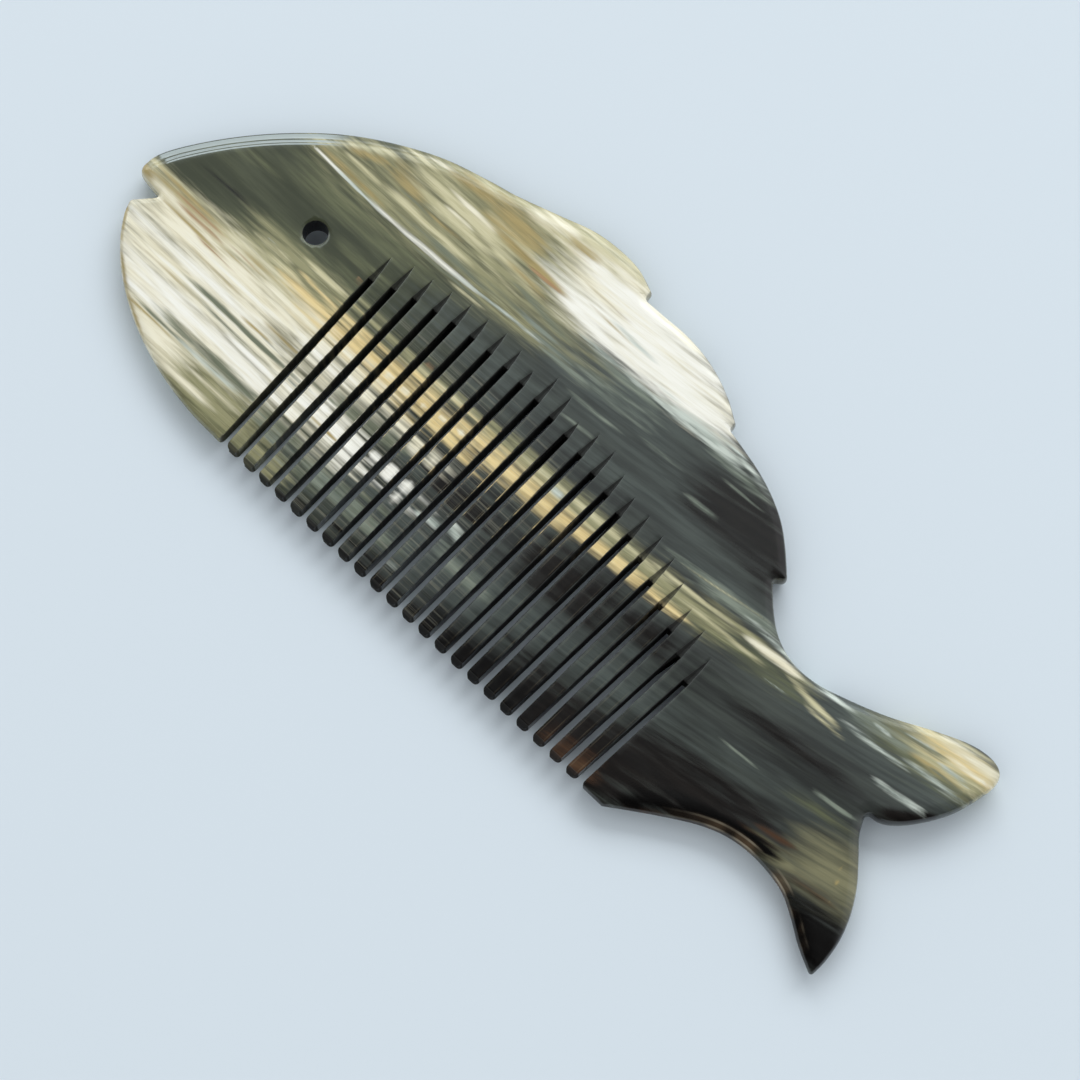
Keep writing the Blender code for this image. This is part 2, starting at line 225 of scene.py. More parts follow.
STREAKS = (
    # Above the white line: khaki, paler along the back, with ochre and pale streaks in it
    *streaks(Tone.KHAKI, (-62, 12.4, -14, 13.4, 2.6), (-58, 17.0, -9, 16.2, 3.0, 0.9),
             (-52, 21.6, -14, 23.0, 4.4), (-34, 26.5, -4, 30.6, 3.2), (-22, 12.8, 2, 15.6, 2.8, 0.42)),
    *streaks(Tone.TAN, (-62, 12.0, -49, 20.4, 1.0, 0.7), (-53, 18.6, -39, 23.8, 1.2, 0.65),
             (-44, 23.4, -26, 27.8, 1.2, 0.7), (-30, 26.6, -9, 30.6, 2.2), (-47, 19.4, -27, 19.2, 1.4, 0.95),
             (-46, 17.4, -30, 17.2, 0.9), (-33, 18.4, -20, 17.6, 0.8, 0.8),
             (-47, 14.1, -31, 14.0, 0.55, 0.95), (-57, 13.9, -49, 13.8, 0.4, 0.8),
             (-31, 15.8, -22, 15.4, 0.4, 0.8), (-34, 21.9, -24, 21.5, 0.6, 0.9)),
    *streaks(Tone.CREAM, (-50, 21.0, -42, 23.4, 0.6, 0.6), (-40, 20.5, -31, 20.2, 0.4, 0.9),
             (-40, 18.2, -34, 18.3, 0.4, 0.8), (-30, 26.4, -21, 28.8, 1.4, 0.8)),
    *streaks(Tone.OCHRE, (-42.6, 23.0, -33, 23.9, 0.8), (-35, 23.4, -24.4, 23.4, 1.6),
             (-31, 20.6, -17.5, 20.3, 0.5), (-50, 17.4, -42, 16.0, 1.3, 0.8),
             (-57, 14.6, -50, 17.4, 0.7, 0.75), (-60, 11.9, -46, 11.7, 0.4, 0.85),
             (-23, 27.0, -16.5, 27.6, 0.9, 0.8), (-27, 18.2, -18, 17.8, 0.4, 0.8),
             (-42, 15.5, -33, 15.7, 0.35, 0.8)),
    *streaks(Tone.RUST, (-24, 19.9, -17, 20.1, 0.3, 0.8)),
    *streaks(Tone.OLIVE, (-43, 12.4, -24, 13.0, 0.6, 0.9), (-47, 15.5, -38, 15.2, 0.3, 0.75),
             (-24, 16.4, -10, 15.2, 0.6, 0.75), (-28, 13.8, -12, 14.0, 0.5, 0.7)),
    # The white line
    *streaks(Tone.WHITE, (-60.4, 11.2, -53, 10.85, 0.2, 0.95), (-47, 10.65, -29, 11.35, 0.34)),
    *streaks(Tone.MIST, (-56, 10.9, -44, 10.6, 0.2, 0.8), (-31, 11.3, -16, 12.4, 0.26, 0.85)),
    *streaks(Tone.OLIVE, (-40, 10.1, -20, 11.0, 0.3, 0.7)),
    *streaks(Tone.TAN, (-31, 9.9, -24, 10.2, 0.25, 0.8)),
    # The white flash on the back
    *streaks(Tone.CREAM, (-21, 25.2, 10, 24.4, 3.6), (-17, 21.6, 15, 22.6, 2.8), (-15, 28.4, 5, 27.6, 1.7)),
    *streaks(Tone.WHITE, (-18, 26.6, 10, 25.6, 1.6), (-20, 21.6, 6, 20.8, 1.5), (-8, 22.8, 15.5, 21.4, 1.9),
             (-13, 18.9, 6, 18.9, 0.8, 0.9), (-3, 19.6, 13, 20.0, 0.9, 0.9), (-17, 19.9, -6, 19.6, 0.6)),
    *streaks(Tone.OCHRE, (-16, 23.8, -7, 23.9, 0.3, 0.62), (-14, 21.9, -3, 21.5, 0.3, 0.55)),
    *streaks(Tone.MIST, (5, 18.8, 21, 19.2, 1.0, 0.9), (-10, 22.3, 1, 21.9, 0.5, 0.62),
             (-10, 17.6, 3, 17.9, 0.5, 0.85), (2, 17.8, 9, 18.0, 0.4, 0.7), (14, 20.6, 26, 18.9, 0.7, 0.8)),
    *streaks(Tone.HAZE, (15, 18.0, 27, 17.7, 0.8, 0.85), (19, 15.7, 27, 16.1, 0.25, 0.85)),
    # Greenish streaks in the dark back, partly painted sheen
    *streaks(Tone.SHEEN, (-16, 13.4, 14, 16.0, 3.8), (-12, 9.0, 24, 11.0, 3.0, 0.68),
             (-6, 5.0, 36, 7.5, 3.2, 0.7), (-34, 4.0, -2, 6.0, 4.4, 0.7), (12, 16.8, 26, 17.8, 1.3, 0.8),
             (18, 3.4, 42, 5.0, 1.6, 0.75)),
    *streaks(Tone.HAZE, (-10, 13.4, 8, 14.8, 1.8, 0.62), (-16, 12.8, -8, 13.2, 0.35),
             (-13, 12.0, -5, 12.5, 0.3), (-20, 13.8, -13, 13.9, 0.3), (-6, 9.8, 4, 10.3, 0.35, 0.9),
             (-5, 6.6, 3, 7.1, 0.3, 0.9), (-6, 16.6, 5, 17.2, 0.5), (17.5, 10.2, 23, 10.7, 0.3),
             (4, 12.0, 16, 12.6, 0.4, 0.6)),
    *streaks(Tone.DARK, (17, 13.2, 44, 13.8, 5.0), (26, 8.6, 42, 9.0, 2.6, 0.6)),
    # The dark head and the khaki under the eye
    *streaks(Tone.MOSS, (-61, 7.6, -34, 8.6, 2.2, 0.95), (-48, 3.0, -36, 3.4, 1.8, 0.7),
             (-62, -4.0, -38, -0.6, 2.0, 0.8), (-72, 3.0, -58, 4.6, 1.6, 0.5)),
    *streaks(Tone.DARK, (-73, -2.6, -54, -2.2, 0.7, 0.55), (-70, -6.0, -60, -6.0, 0.5, 0.5)),
    *streaks(Tone.KHAKI, (-59, -4.0, -36, -3.2, 1.7, 0.95), (-57, -6.0, -38, -5.4, 1.2)),
    *streaks(Tone.TAN, (-57, -4.6, -50, -4.4, 0.4, 0.9), (-48, -2.6, -40, -2.4, 0.35, 0.9),
             (-54, -5.8, -46, -5.6, 0.4, 0.8)),
    *streaks(Tone.MIST, (-55.5, -4.0, -52.5, -3.9, 0.14, 0.8)),
    # The lip and the cheek
    *streaks(Tone.TAN, (-79, -8.4, -36, -8.6, 1.7), (-79, -6.9, -69, -7.4, 0.8, 0.9)),
    *streaks(Tone.CREAM, (-78, -12.0, -36, -11.8, 3.0), (-80, -17.0, -34, -16.6, 4.0),
             (-76, -21.6, -34, -21.0, 2.9), (-68, -25.6, -50, -27.2, 2.8), (-52, -9.2, -38, -9.6, 0.7),
             (-54, -28.7, -43, -28.3, 0.5), (-50, -26.4, -38, -26.2, 0.35, 0.9),
             (-60, -25.9, -48, -25.7, 0.4, 0.9)),
    *streaks(Tone.WHITE, (-76, -15.0, -42, -14.9, 0.9, 0.85), (-70, -20.5, -36, -20.8, 1.4, 0.9),
             (-64, -12.2, -42, -12.2, 0.4, 0.85), (-68, -17.2, -48, -17.2, 0.4, 0.8),
             (-70, -23.0, -56, -23.4, 0.6, 0.8), (-50, -18.8, -37, -19.0, 0.5, 0.9)),
    *streaks(Tone.OCHRE, (-79, -8.8, -74, -9.2, 1.2, 0.7), (-75, -7.5, -60, -7.7, 0.4, 0.85),
             (-72, -10.6, -58, -10.8, 0.3, 0.75), (-60, -9.7, -51, -9.8, 0.25, 0.6),
             (-56, -8.0, -42, -8.1, 0.35, 0.7), (-73, -18.2, -55, -18.0, 0.3, 0.6),
             (-45.5, -13.7, -38.5, -13.8, 0.28), (-49, -15.4, -43, -15.3, 0.25, 0.85),
             (-62, -13.0, -50, -13.2, 0.3, 0.6), (-67, -24.9, -54, -24.9, 0.2, 0.75),
             (-75.6, -13.4, -70.4, -20.4, 0.4, 0.8), (-71.6, -19.2, -64, -25.0, 0.4, 0.85),
             (-65.5, -24.1, -56, -28.6, 0.35, 0.75), (-77, -8.0, -59, -8.7, 1.1, 0.72)),
    *streaks(Tone.RUST, (-71, -8.3, -61, -8.4, 0.35, 0.75), (-69, -9.4, -59, -9.3, 0.3, 0.75),
             (-60, -8.7, -50, -8.8, 0.25, 0.62), (-64, -11.2, -54, -11.3, 0.25, 0.55)),
    *streaks(Tone.OLIVE, (-59, -16.5, -37, -16.7, 0.32, 0.95), (-45, -15.5, -37, -15.7, 0.22, 0.8),
             (-58, -18.0, -38, -18.0, 0.5, 0.72), (-57, -23.0, -35, -23.1, 0.7, 0.98),
             (-62, -24.3, -50, -24.3, 0.3, 0.7)),
    *streaks(Tone.HAZE, (-38, -17.4, -34.6, -17.6, 0.5, 0.7)),
    *streaks(Tone.MIST, (-52, -24.2, -38, -24.2, 0.5, 0.7)),
    *streaks(Tone.KHAKI, (-62, -26.0, -32, -27.6, 4.6)),
    *streaks(Tone.MOSS, (-46, -30.4, -34, -29.6, 1.2)),
    # The amber band, across the teeth and up into the tail
    *streaks(Tone.AMBER, (-49, -6.4, -36, -6.8, 1.1, 0.9), (-48, -4.5, -38, -4.8, 0.55, 0.6),
             (-43, -7.5, -18, -7.0, 2.4), (-26, -6.8, -7, -6.3, 2.0), (-12, -5.6, 9, -4.8, 1.6),
             (2, -5.0, 27, -3.9, 0.95), (17, -4.4, 30, -3.8, 0.9, 0.85)),
    *streaks(Tone.KHAKI, (-42, -3.4, -8, -2.4, 1.5, 0.85), (-12, -2.6, 24, -1.9, 1.7, 0.95),
             (12, -3.0, 36, -1.4, 2.2, 0.9)),
    *streaks(Tone.MOSS, (24, -2.4, 50, -0.4, 1.6, 0.85)),
    *streaks(Tone.TAN, (-2, -2.0, 22, -1.1, 0.4, 0.9), (-9, -3.5, 14, -3.0, 0.3, 0.85),
             (-26, -3.0, -14, -2.6, 0.4, 0.8)),
    *streaks(Tone.CREAM, (-43, -8.8, -20, -8.4, 0.9, 0.7)),
    *streaks(Tone.RUST, (-24.6, -1.6, -22.6, -1.6, 0.4, 0.9), (-41.4, 0.6, -39.6, 0.2, 0.7, 0.55)),
    # Cream, white and grey across the first teeth
    *streaks(Tone.CREAM, (-44, -11.8, -23, -11.4, 2.5), (-27, -11.3, -11, -11.2, 0.9, 0.9),
             (-44, -18.2, -22, -18.6, 3.4), (-17.4, -11.6, -15.2, -11.6, 0.9),
             (-13.8, -11.4, -12.0, -11.4, 0.8), (-27.4, -7.0, -26.0, -7.0, 0.5, 0.9),
             (-24.2, -6.8, -22.6, -6.8, 0.6, 0.9), (-20.6, -6.8, -19.2, -6.8, 0.5, 0.9),
             (-17.2, -6.2, -15.8, -6.2, 0.5, 0.9), (-13.8, -5.8, -12.4, -5.8, 0.5, 0.9)),
    *streaks(Tone.WHITE, (-42, -12.0, -28, -11.8, 1.2, 0.8), (-40, -18.4, -19.5, -18.4, 2.2, 0.75),
             (-20, -17.1, -7, -16.8, 0.8, 0.65), (-21, -19.8, -9, -19.5, 0.4, 0.65),
             (-31.0, -17.0, -28.9, -17.0, 1.3), (-27.4, -18.2, -25.4, -18.2, 2.0),
             (-24.8, -18.4, -21.2, -18.4, 2.4), (-20.4, -17.2, -18.6, -17.2, 1.0),
             (-17.2, -17.0, -15.4, -17.0, 1.0), (-13.8, -16.8, -12.2, -16.8, 0.8),
             (-13.8, -19.4, -12.2, -19.4, 0.6)),
    *streaks(Tone.OCHRE, (-33, -19.2, -25.5, -19.3, 0.25, 0.9)),
    *streaks(Tone.OLIVE, (-30, -14.3, -18, -14.2, 1.2, 0.95), (-38, -15.4, -28, -15.4, 0.25, 0.8),
             (-38, -23.4, -28, -23.4, 0.8, 0.9)),
    *streaks(Tone.MIST, (-9, -18.6, -5, -18.5, 0.5, 0.9), (-5, -16.6, -1, -17.8, 0.7, 0.9),
             (-8, -27.4, -5, -27.0, 0.7, 0.75), (2.4, -2.7, 4.6, -2.6, 0.5, 0.95)),
    *streaks(Tone.MOSS, (-32, -25.4, -8, -25.0, 3.0, 0.66)),
    *streaks(Tone.KHAKI, (-36, -28.4, -26, -28.6, 1.7, 0.85)),
    *streaks(Tone.HAZE, (-38, -25.2, -27, -25.2, 0.9, 0.75), (-30, -25.6, -6, -24.8, 2.2, 0.66),
             (-4, -21.2, 8, -20.4, 1.8, 0.64), (-26, -25.2, -14, -24.8, 1.6, 0.85)),
    *streaks(Tone.SHEEN, (-32, -14.4, 4, -14.0, 3.0, 0.6), (-34, -25.0, 14, -22.4, 4.2),
             (-2, -21.0, 40, -16.6, 3.6), (24, -12.8, 31, -12.2, 1.8, 0.7)),
    *streaks(Tone.DARK, (-14, -13.6, 2, -12.0, 3.2, 0.72), (6, -12.6, 22, -10.4, 4.2, 0.95),
             (22, -9.6, 32, -8.6, 2.0, 0.9), (14, -28.6, 44, -25.4, 6.4)),
    *streaks(Tone.SOOT, (-24, -35.6, 4, -32.4, 5.2), (-4, -32.0, 24, -29.2, 5.2)),
    *streaks(Tone.BROWN, (26, -30.0, 36.5, -28.6, 2.2, 0.85)),
    *streaks(Tone.RUST, (31.6, -30.2, 34.8, -28.6, 0.9, 0.6)),
    # The tail stalk
    *streaks(Tone.TAN, (21, -0.6, 34, 0.6, 0.28, 0.95), (24, 2.2, 39, 4.6, 0.2, 0.75),
             (28, -1.7, 42, -0.6, 0.35, 0.85), (47, 0.5, 57, 0.0, 0.4, 0.85),
             (51, -0.9, 58, -0.6, 0.35, 0.8)),
    *streaks(Tone.HAZE, (28, 2.0, 43, 4.6, 0.8), (20, 2.2, 34, 4.0, 0.4, 0.8),
             (60, -8.9, 66, -8.2, 0.3, 0.85), (45, -12.6, 52, -12.2, 0.2, 0.75)),
    *streaks(Tone.KHAKI, (26, 0.6, 52, 1.8, 1.0, 0.65)),
    *streaks(Tone.CREAM, (39, 0.8, 47, 1.8, 0.5)),
    *streaks(Tone.MIST, (38, 2.9, 56, 3.0, 0.4, 0.9), (43, -2.0, 48, -1.5, 0.2, 0.8)),
    # The stalk's grey is partly painted sheen, which ends at the dark belly below it
    *streaks(Tone.SHEEN, (38, -1.8, 66, 0.8, 1.8, 0.8), (36, -14.4, 72, -10.6, 2.8, 0.56),
             (34, -17.2, 58, -14.4, 1.6, 0.6)),
    *streaks(Tone.MOSS, (56, -11.6, 71, -9.4, 1.3, 0.55)),
    *streaks(Tone.DARK, (40, -8.2, 67, -4.8, 2.6, 0.7), (28, -25.6, 60, -19.4, 5.2)),
    # The upper tail fin
    *streaks(Tone.SHEEN, (50, 2.8, 78, 3.4, 3.8)),
    *streaks(Tone.MOSS, (58, 3.8, 80, 6.0, 2.6, 0.8), (62, 4.6, 75, 5.6, 1.0, 0.8)),
    *streaks(Tone.KHAKI, (60, 5.6, 80, 8.0, 2.8, 0.9)),
    *streaks(Tone.OCHRE, (66, 4.6, 76, 5.6, 0.5, 0.7)),
    *streaks(Tone.TAN, (63, 7.6, 80, 9.8, 1.7), (66, 5.2, 79, 6.2, 0.5, 0.85)),
    *streaks(Tone.CREAM, (68, 9.4, 80, 10.2, 0.9, 0.9), (70, 7.9, 80, 8.8, 0.4, 0.75)),
    *streaks(Tone.AMBER, (64, 7.4, 79, 9.6, 1.6, 0.78)),
    *streaks(Tone.OLIVE, (60, 5.6, 71, 7.0, 0.5, 0.85), (70, 4.9, 77, 5.4, 0.3, 0.8)),
    *streaks(Tone.MIST, (57, 1.2, 67, 2.4, 0.5, 0.8), (59.5, 4.1, 62.5, 4.4, 0.25, 0.8),
             (63.5, 6.4, 69, 7.4, 0.45, 0.75), (65, 3.1, 76, 4.4, 0.45, 0.85), (70.5, 6.2, 75, 6.6, 0.3),
             (65, -2.0, 73, -0.7, 0.5, 0.78)),
    *streaks(Tone.HAZE, (55, 3.0, 66, 5.0, 0.9, 0.8)),
    # Painted shade along the upper fin's lower rim
    *streaks(Tone.DARK, (68, -5.6, 76, 0.4, 1.1, 0.95), (75, -1.6, 78.4, 6.0, 0.8, 0.8)),
    # The lower tail fin
    *streaks(Tone.HUSK, (63.5, -17.2, 80, -13.8, 3.9), (57, -20.2, 67, -19.0, 1.3, 0.9)),
    *streaks(Tone.KHAKI, (67, -16.2, 76, -14.6, 1.4, 0.58)),
    # The black tip of the lower fin, then painted shade in black along the belly's bevel
    *streaks(Tone.SOOT, (66, -25.2, 86, -22.6, 4.2), (41, -28.6, 47.2, -23.6, 1.7),
             (46.5, -24.0, 53.5, -20.8, 1.5), (52, -21.2, 63, -19.4, 1.1)),
    *streaks(Tone.BROWN, (57, -18.2, 64, -16.8, 1.1, 0.64), (55, -19.6, 62.5, -18.8, 0.6, 0.75),
             (42, -29.2, 47, -26.0, 0.7, 0.85), (63, -20.6, 73, -19.0, 1.0, 0.7)),
    *streaks(Tone.DARK, (48, -18.2, 60.5, -16.6, 1.5, 0.9)),
    *streaks(Tone.OCHRE, (69.2, -12.4, 72.4, -19.6, 0.3, 0.6)),
)


@dataclass(frozen=True)
class Stretch:
    """A smooth stretch of the outline, which ends at its last point in a corner.

    Attributes:
        points: The points that it passes through, after the corner before it.
        corner_radius: The fillet in the corner at its end.
        edge_width: How far in from it the hand-rounded edge reaches.
        slims_by: What the edge loses in width over the stretch.
    """

    points: tuple[Point, ...]
    corner_radius: float
    edge_width: float
    slims_by: float = 0.0


STRETCHES = (
    # Under the head and up the jaw to the lower lip
    Stretch(((-45.2, -30.8), (-53.1, -29.4), (-60.6, -26.8), (-67.4, -23.0), (-71.6, -19.3),
             (-74.0, -16.2), (-75.0, -13.9)), 0.9, 1.7),
    # The mouth, a saw cut
    Stretch(((-72.0, -10.6),), 0.35, 1.2),
    Stretch(((-77.6, -9.8),), 1.5, 1.4),
    # Forehead and back, with a slight hollow behind the head, to the first fin notch
    Stretch(((-77.4, -6.0), (-75.2, -1.5), (-70.6, 5.0), (-65.2, 11.0), (-59.2, 16.3), (-52.5, 20.6),
             (-45.3, 24.0), (-37.6, 26.2), (-33.7, 27.1), (-26.1, 29.5), (-21.0, 31.1), (-16.4, 31.6),
             (-12.0, 31.3), (-8.1, 29.9)), 0.35, 3.7, 1.7),
    Stretch(((-7.9, 28.4),), 0.5, 1.6),
    # Second fin lobe
    Stretch(((-3.9, 28.5), (0.1, 28.6), (4.0, 28.2), (7.8, 27.2), (11.5, 25.6), (14.9, 23.5)), 0.35, 1.9),
    Stretch(((15.1, 22.2),), 0.4, 1.6),
    # Third fin lobe
    Stretch(((18.8, 21.4), (22.7, 20.4), (26.4, 19.0), (29.9, 17.1), (33.0, 14.6), (36.6, 11.1)), 0.7, 1.8),
    Stretch(((34.9, 9.8),), 0.5, 1.4),
    # The waist, the upper tail fin and its underside, to the fork
    Stretch(((38.4, 6.3), (41.5, 4.1), (45.2, 2.9), (48.9, 2.9), (52.4, 3.7), (59.9, 6.4), (67.1, 9.9),
             (71.5, 11.7), (74.9, 12.2), (77.1, 11.5), (77.9, 9.8), (77.4, 6.6), (76.0, 2.2), (73.7, -1.6),
             (71.4, -4.3), (69.3, -5.6), (67.2, -5.7)), 0.8, 1.9),
    # Lower tail fin
    Stretch(((68.7, -8.8), (70.9, -11.4), (73.4, -14.5), (75.4, -18.0), (76.7, -21.7), (77.2, -25.4),
             (77.1, -28.3)), 0.5, 1.8),
    # The belly curve, back to the tail guard
    Stretch(((73.0, -26.3), (69.7, -24.2), (66.3, -22.4), (62.5, -21.6), (58.5, -21.5), (54.7, -22.2),
             (51.3, -23.6), (47.9, -25.6), (44.5, -27.8), (39.7, TOOTH_LINE_Y)), 0.5, 2.8),
    # The tooth line, under the tail guard, the teeth and the head guard
    Stretch(((35.4, TOOTH_LINE_Y),), 0.0, 0.9),
    Stretch(((-38.3, TOOTH_LINE_Y),), 0.5, 1.2),
)


@dataclass(frozen=True)
class Outline:
    """The comb's closed outline, clockwise from the guard corner below the head.

    Attributes:
        stretches: The stretches in order.
        step: The spacing of points on the smooth stretches.
        corner_step: The spacing of points in the fillets.
        fillet_pull: How far a fillet's handles reach towards the corner, which makes a near circle.
        edge_blend: The length over which one stretch's edge width fades into the next.
    """

    stretches: tuple[Stretch, ...] = STRETCHES
    step: float = 0.5
    corner_step: float = 0.18
    fillet_pull: float = 0.56
    edge_blend: float = 5.0

    def smooth(self, start: Vector, points: tuple[Point, ...]) -> list[Vector]:
        """A smooth curve from a start through the given points.

        Args:
            start: Where the curve starts.
            points: What it passes through.

        Returns:
            Points on it, about a step apart.
        """
        knots = [start] + [Vector(p) for p in points]
        chords = [(b - a).normalized() for a, b in zip(knots, knots[1:])]
        middle = [(c - a).normalized() for a, c in zip(knots, knots[2:])]
        tangents = chords[:1] + middle + chords[-1:]
        curve = []
        for i, (a, b) in enumerate(zip(knots, knots[1:])):
            pull = (b - a).length / 3
            count = max(2, round((b - a).length / self.step) + 1)
            handles = (a + tangents[i] * pull, b - tangents[i + 1] * pull)
            curve += [p.to_2d() for p in interpolate_bezier(a, *handles, b, count)[:-1]]
        return curve + [knots[-1]]

    def shortened(self, curve: list[Vector], start_cut: float, end_cut: float) -> list[Vector]:
        """The curve without the given lengths at its two ends.

        Args:
            curve: The points of a curve.
            start_cut: What comes off its start.
            end_cut: What comes off its end.

        Returns:
            The points of what is left.
        """
        steps = [(b - a).length for a, b in zip(curve, curve[1:])]
        lengths = np.concatenate([[0.0], np.cumsum(steps)])
        flat = np.array([tuple(p) for p in curve])
        first, last = start_cut, lengths[-1] - end_cut
        spare = 0.3 * self.step
        inner = [d for d in lengths if first + spare < d < last - spare]
        places = [first, *inner, last]
        return [Vector([np.interp(d, lengths, flat[:, k]) for k in (0, 1)]) for d in places]

    def points(self) -> tuple[Array, Array]:
        """The whole outline.

        Returns:
            Its points, and the edge width at each.
        """
        corners = [Vector(s.points[-1]) for s in self.stretches]
        curves = [self.smooth(corners[i - 1], s.points) for i, s in enumerate(self.stretches)]
        cuts = []
        for i, stretch in enumerate(self.stretches):
            before = corners[i] - curves[i][-2]
            after = curves[(i + 1) % len(curves)][1] - corners[i]
            cuts.append(stretch.corner_radius * math.tan(before.angle(after) / 2))
        points, widths = [], []
        for i, stretch in enumerate(self.stretches):
            run = self.shortened(curves[i], cuts[i - 1], cuts[i])
            following = self.shortened(curves[(i + 1) % len(curves)], cuts[i], 0.0)
            last = run.pop()
            if stretch.corner_radius > 0:
                count = max(4, round(2 * cuts[i] / self.corner_step) + 2)
                handles = [p.lerp(corners[i], self.fillet_pull) for p in (last, following[0])]
                run += interpolate_bezier(last, *handles, following[0], count)[:-1]
            points += [tuple(p)[:2] for p in run]
            widths += list(stretch.edge_width - stretch.slims_by * np.linspace(0, 1, len(run)))
        places = np.array(points)
        return places, self.blended(places, np.array(widths))

    def blended(self, points: Array, widths: Array) -> Array:
        """The widths averaged along the outline, so that one stretch's edge fades into the next.

        Args:
            points: The outline's points.
            widths: The edge width at each.

        Returns:
            The averaged widths.
        """
        step = np.linalg.norm(np.roll(points, -1, axis=0) - points, axis=1)
        place = np.concatenate([[0.0], np.cumsum(step)])
        apart = np.abs(place[:-1, None] - place[None, :-1])
        apart = np.minimum(apart, place[-1] - apart)
        weight = np.exp(-((apart / self.edge_blend) ** 2)) * step[None, :]
        return (weight * widths[None, :]).sum(axis=1) / weight.sum(axis=1)


def inward_normals(points: Array) -> Array:
    """The unit normals of a clockwise outline, pointing into the plate.

    Args:
        points: The outline's points.

    Returns:
        One normal a point.
    """
    ahead = np.roll(points, -1, axis=0) - points
    ahead /= np.linalg.norm(ahead, axis=1)[:, None]
    along = ahead + np.roll(ahead, 1, axis=0)
    along /= np.linalg.norm(along, axis=1)[:, None]
    return np.stack([along[:, 1], -along[:, 0]], axis=1)


def room_inside(points: Array, normals: Array) -> Array:
    """The radius of the largest circle that touches the outline at each point from inside.

    Args:
        points: The outline's points.
        normals: Its inward normals.

    Returns:
        One radius a point.
    """
    apart = points[None, :, :] - points[:, None, :]
    towards = np.einsum("ijk,ik->ij", apart, normals)
    with np.errstate(divide="ignore", invalid="ignore"):
        radius = np.where(towards > AHEAD, (apart**2).sum(axis=2) / (2 * towards), np.inf)
    room = np.nan_to_num(radius, nan=np.inf).min(axis=1)
    return np.minimum(room, np.minimum(np.roll(room, 1), np.roll(room, -1)))


def nearest_on_outline(places: Array, points: Array, widths: Array) -> tuple[Array, Array]:
    """How far places inside are from the outline, and the edge width where each is nearest to it.

    Args:
        places: Points inside the outline.
        points: The outline's points.
        widths: The edge width at each.

    Returns:
        The distances and the edge widths.
    """
    span = np.roll(points, -1, axis=0) - points
    square = (span**2).sum(axis=1)
    distance, width = [], []
    for block in np.array_split(places, max(1, len(places) // BLOCK)):
        offset = block[:, None, :] - points[None, :, :]
        share = np.clip((offset * span[None]).sum(axis=2) / square[None], 0, 1)
        gap = np.linalg.norm(offset - share[:, :, None] * span[None], axis=2)
        best = gap.argmin(axis=1)
        distance.append(gap[np.arange(len(block)), best])
        width.append(widths[best])
    return np.concatenate(distance), np.concatenate(width)


